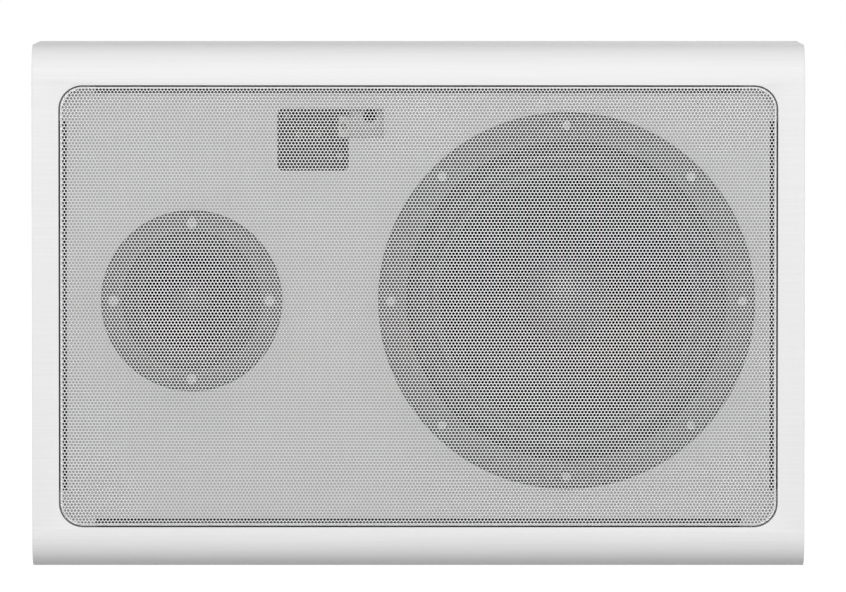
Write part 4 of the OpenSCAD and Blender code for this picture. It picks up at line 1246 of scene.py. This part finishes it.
class SPEAKER_OT_stage(bpy.types.Operator):
    """Set up the floor, the lamps and the camera"""

    bl_idname = "speaker.stage"
    bl_label = "Stage"
    bl_options = {"REGISTER", "UNDO"}

    def execute(self, context):
        scene = begin(context)
        sizes = scene.speaker_stage
        self.floor(sizes)
        self.lamps(sizes)
        self.world(scene, sizes)
        self.camera(scene, sizes)
        scene.view_settings.view_transform = "Standard"
        return {"FINISHED"}

    def seen_directly(self, tree):
        """1 for rays from the camera and for reflections or clear glass, and 0 for others."""
        path = add(tree, "ShaderNodeLightPath")
        result = path.outputs["Is Camera Ray"]
        for name in ("Is Glossy Ray", "Is Transmission Ray"):
            either = add(tree, "ShaderNodeMath", operation="MAXIMUM")
            tree.links.new(result, either.inputs[0])
            tree.links.new(path.outputs[name], either.inputs[1])
            result = either.outputs["Value"]
        return result

    def floor(self, sizes):
        """The plain pale floor, white where it is seen and in shadow under the object."""
        deselect()
        bpy.ops.mesh.primitive_plane_add(
            size=sizes.floor_size, location=(0, 0, -sizes.floor_z)
        )
        floor = fresh("floor")
        material, tree, shader = base("floor_paint", sizes.floor_shade, 0.9, specular=0.1)
        shader.inputs["Emission Color"].default_value = (1, 1, 1, 1)
        glow = add(tree, "ShaderNodeMath", operation="MULTIPLY")
        glow.inputs[1].default_value = sizes.floor_glow
        tree.links.new(self.seen_directly(tree), glow.inputs[0])
        tree.links.new(glow.outputs["Value"], shader.inputs["Emission Strength"])
        floor.data.materials.append(material)

    def lamp(self, name, place, size, power):
        """A square lamp that points at the object's middle."""
        deselect()
        bpy.ops.object.light_add(type="AREA", location=place)
        lamp = bpy.context.object
        lamp.name = name
        lamp.data.shape = "SQUARE"
        lamp.data.size = size
        lamp.data.energy = power
        lamp.rotation_euler = (-Vector(place)).to_track_quat("-Z", "Y").to_euler()

    def lamps(self, sizes):
        """The key lamp in front and the weak lamp behind."""
        self.lamp("key_lamp", sizes.key_place, sizes.lamp_size, sizes.key_power)
        self.lamp("back_lamp", sizes.back_place, sizes.lamp_size, sizes.back_power)

    def world(self, scene, sizes):
        """Even light all round, white where it is seen."""
        world = bpy.data.worlds.new("studio")
        scene.world = world
        world.use_nodes = True
        tree = world.node_tree
        ambient = tree.nodes["Background"]
        ambient.inputs["Color"].default_value = (1, 1, 1, 1)
        ambient.inputs["Strength"].default_value = sizes.ambient
        white = add(tree, "ShaderNodeBackground")
        white.inputs["Color"].default_value = (1, 1, 1, 1)
        white.inputs["Strength"].default_value = 1.0
        mix = add(tree, "ShaderNodeMixShader")
        tree.links.new(self.seen_directly(tree), mix.inputs["Fac"])
        tree.links.new(ambient.outputs["Background"], mix.inputs[1])
        tree.links.new(white.outputs["Background"], mix.inputs[2])
        tree.links.new(mix.outputs["Shader"], tree.nodes["World Output"].inputs["Surface"])

    def camera(self, scene, sizes):
        """The camera at the photograph's distance, height and framing."""
        deselect()
        aim = Vector((sizes.aim_x, CAD_BOX[0].y, sizes.aim_z))
        way = Vector((0, -math.cos(sizes.elevation), math.sin(sizes.elevation)))
        bpy.ops.object.camera_add(location=aim + way * sizes.distance)
        camera = bpy.context.object
        camera.name = "photo_camera"
        camera.rotation_euler = (math.pi / 2 - sizes.elevation, 0, 0)
        camera.data.sensor_width = SENSOR
        camera.data.lens = SENSOR * sizes.distance / (PICTURE_SIZE[0] * sizes.pixel)
        camera.data.clip_end = sizes.floor_size
        scene.camera = camera


PIECES = (
    SPEAKER_OT_sleeve,
    SPEAKER_OT_end_caps,
    SPEAKER_OT_grille,
    SPEAKER_OT_baffle,
    SPEAKER_OT_woofer,
    SPEAKER_OT_midrange,
    SPEAKER_OT_terminals,
    SPEAKER_OT_crossover,
    SPEAKER_OT_back,
    SPEAKER_OT_stage,
)


class SPEAKER_PT_panel(bpy.types.Panel):
    """Lists the speaker's pieces and settings"""

    bl_idname = "SPEAKER_PT_panel"
    bl_label = "Wall speaker"
    bl_space_type = "VIEW_3D"
    bl_region_type = "UI"
    bl_category = "Speaker"

    def draw(self, context):
        column = self.layout.column()
        for piece in PIECES:
            column.operator(piece.bl_idname)
        for name, group in SETTINGS.items():
            box = self.layout.box()
            box.label(text=group.__doc__)
            for key in group.__annotations__:
                box.prop(getattr(context.scene, name), key)


CLASSES = (*SETTINGS.values(), *PIECES, SPEAKER_PT_panel)


def register():
    """Registers the classes, and puts the settings on the scene."""
    for item in CLASSES:
        bpy.utils.register_class(item)
    for name, group in SETTINGS.items():
        setattr(bpy.types.Scene, name, bpy.props.PointerProperty(type=group))


def unregister():
    """Takes off what register put on."""
    for name in SETTINGS:
        delattr(bpy.types.Scene, name)
    for item in reversed(CLASSES):
        bpy.utils.unregister_class(item)


def main():
    """Makes the whole speaker and its stage."""
    register()
    bpy.ops.speaker.sleeve()
    bpy.ops.speaker.end_caps()
    bpy.ops.speaker.grille()
    bpy.ops.speaker.baffle()
    bpy.ops.speaker.woofer()
    bpy.ops.speaker.midrange()
    bpy.ops.speaker.terminals()
    bpy.ops.speaker.crossover()
    bpy.ops.speaker.back()
    bpy.ops.speaker.stage()


if __name__ == "__main__":
    main()
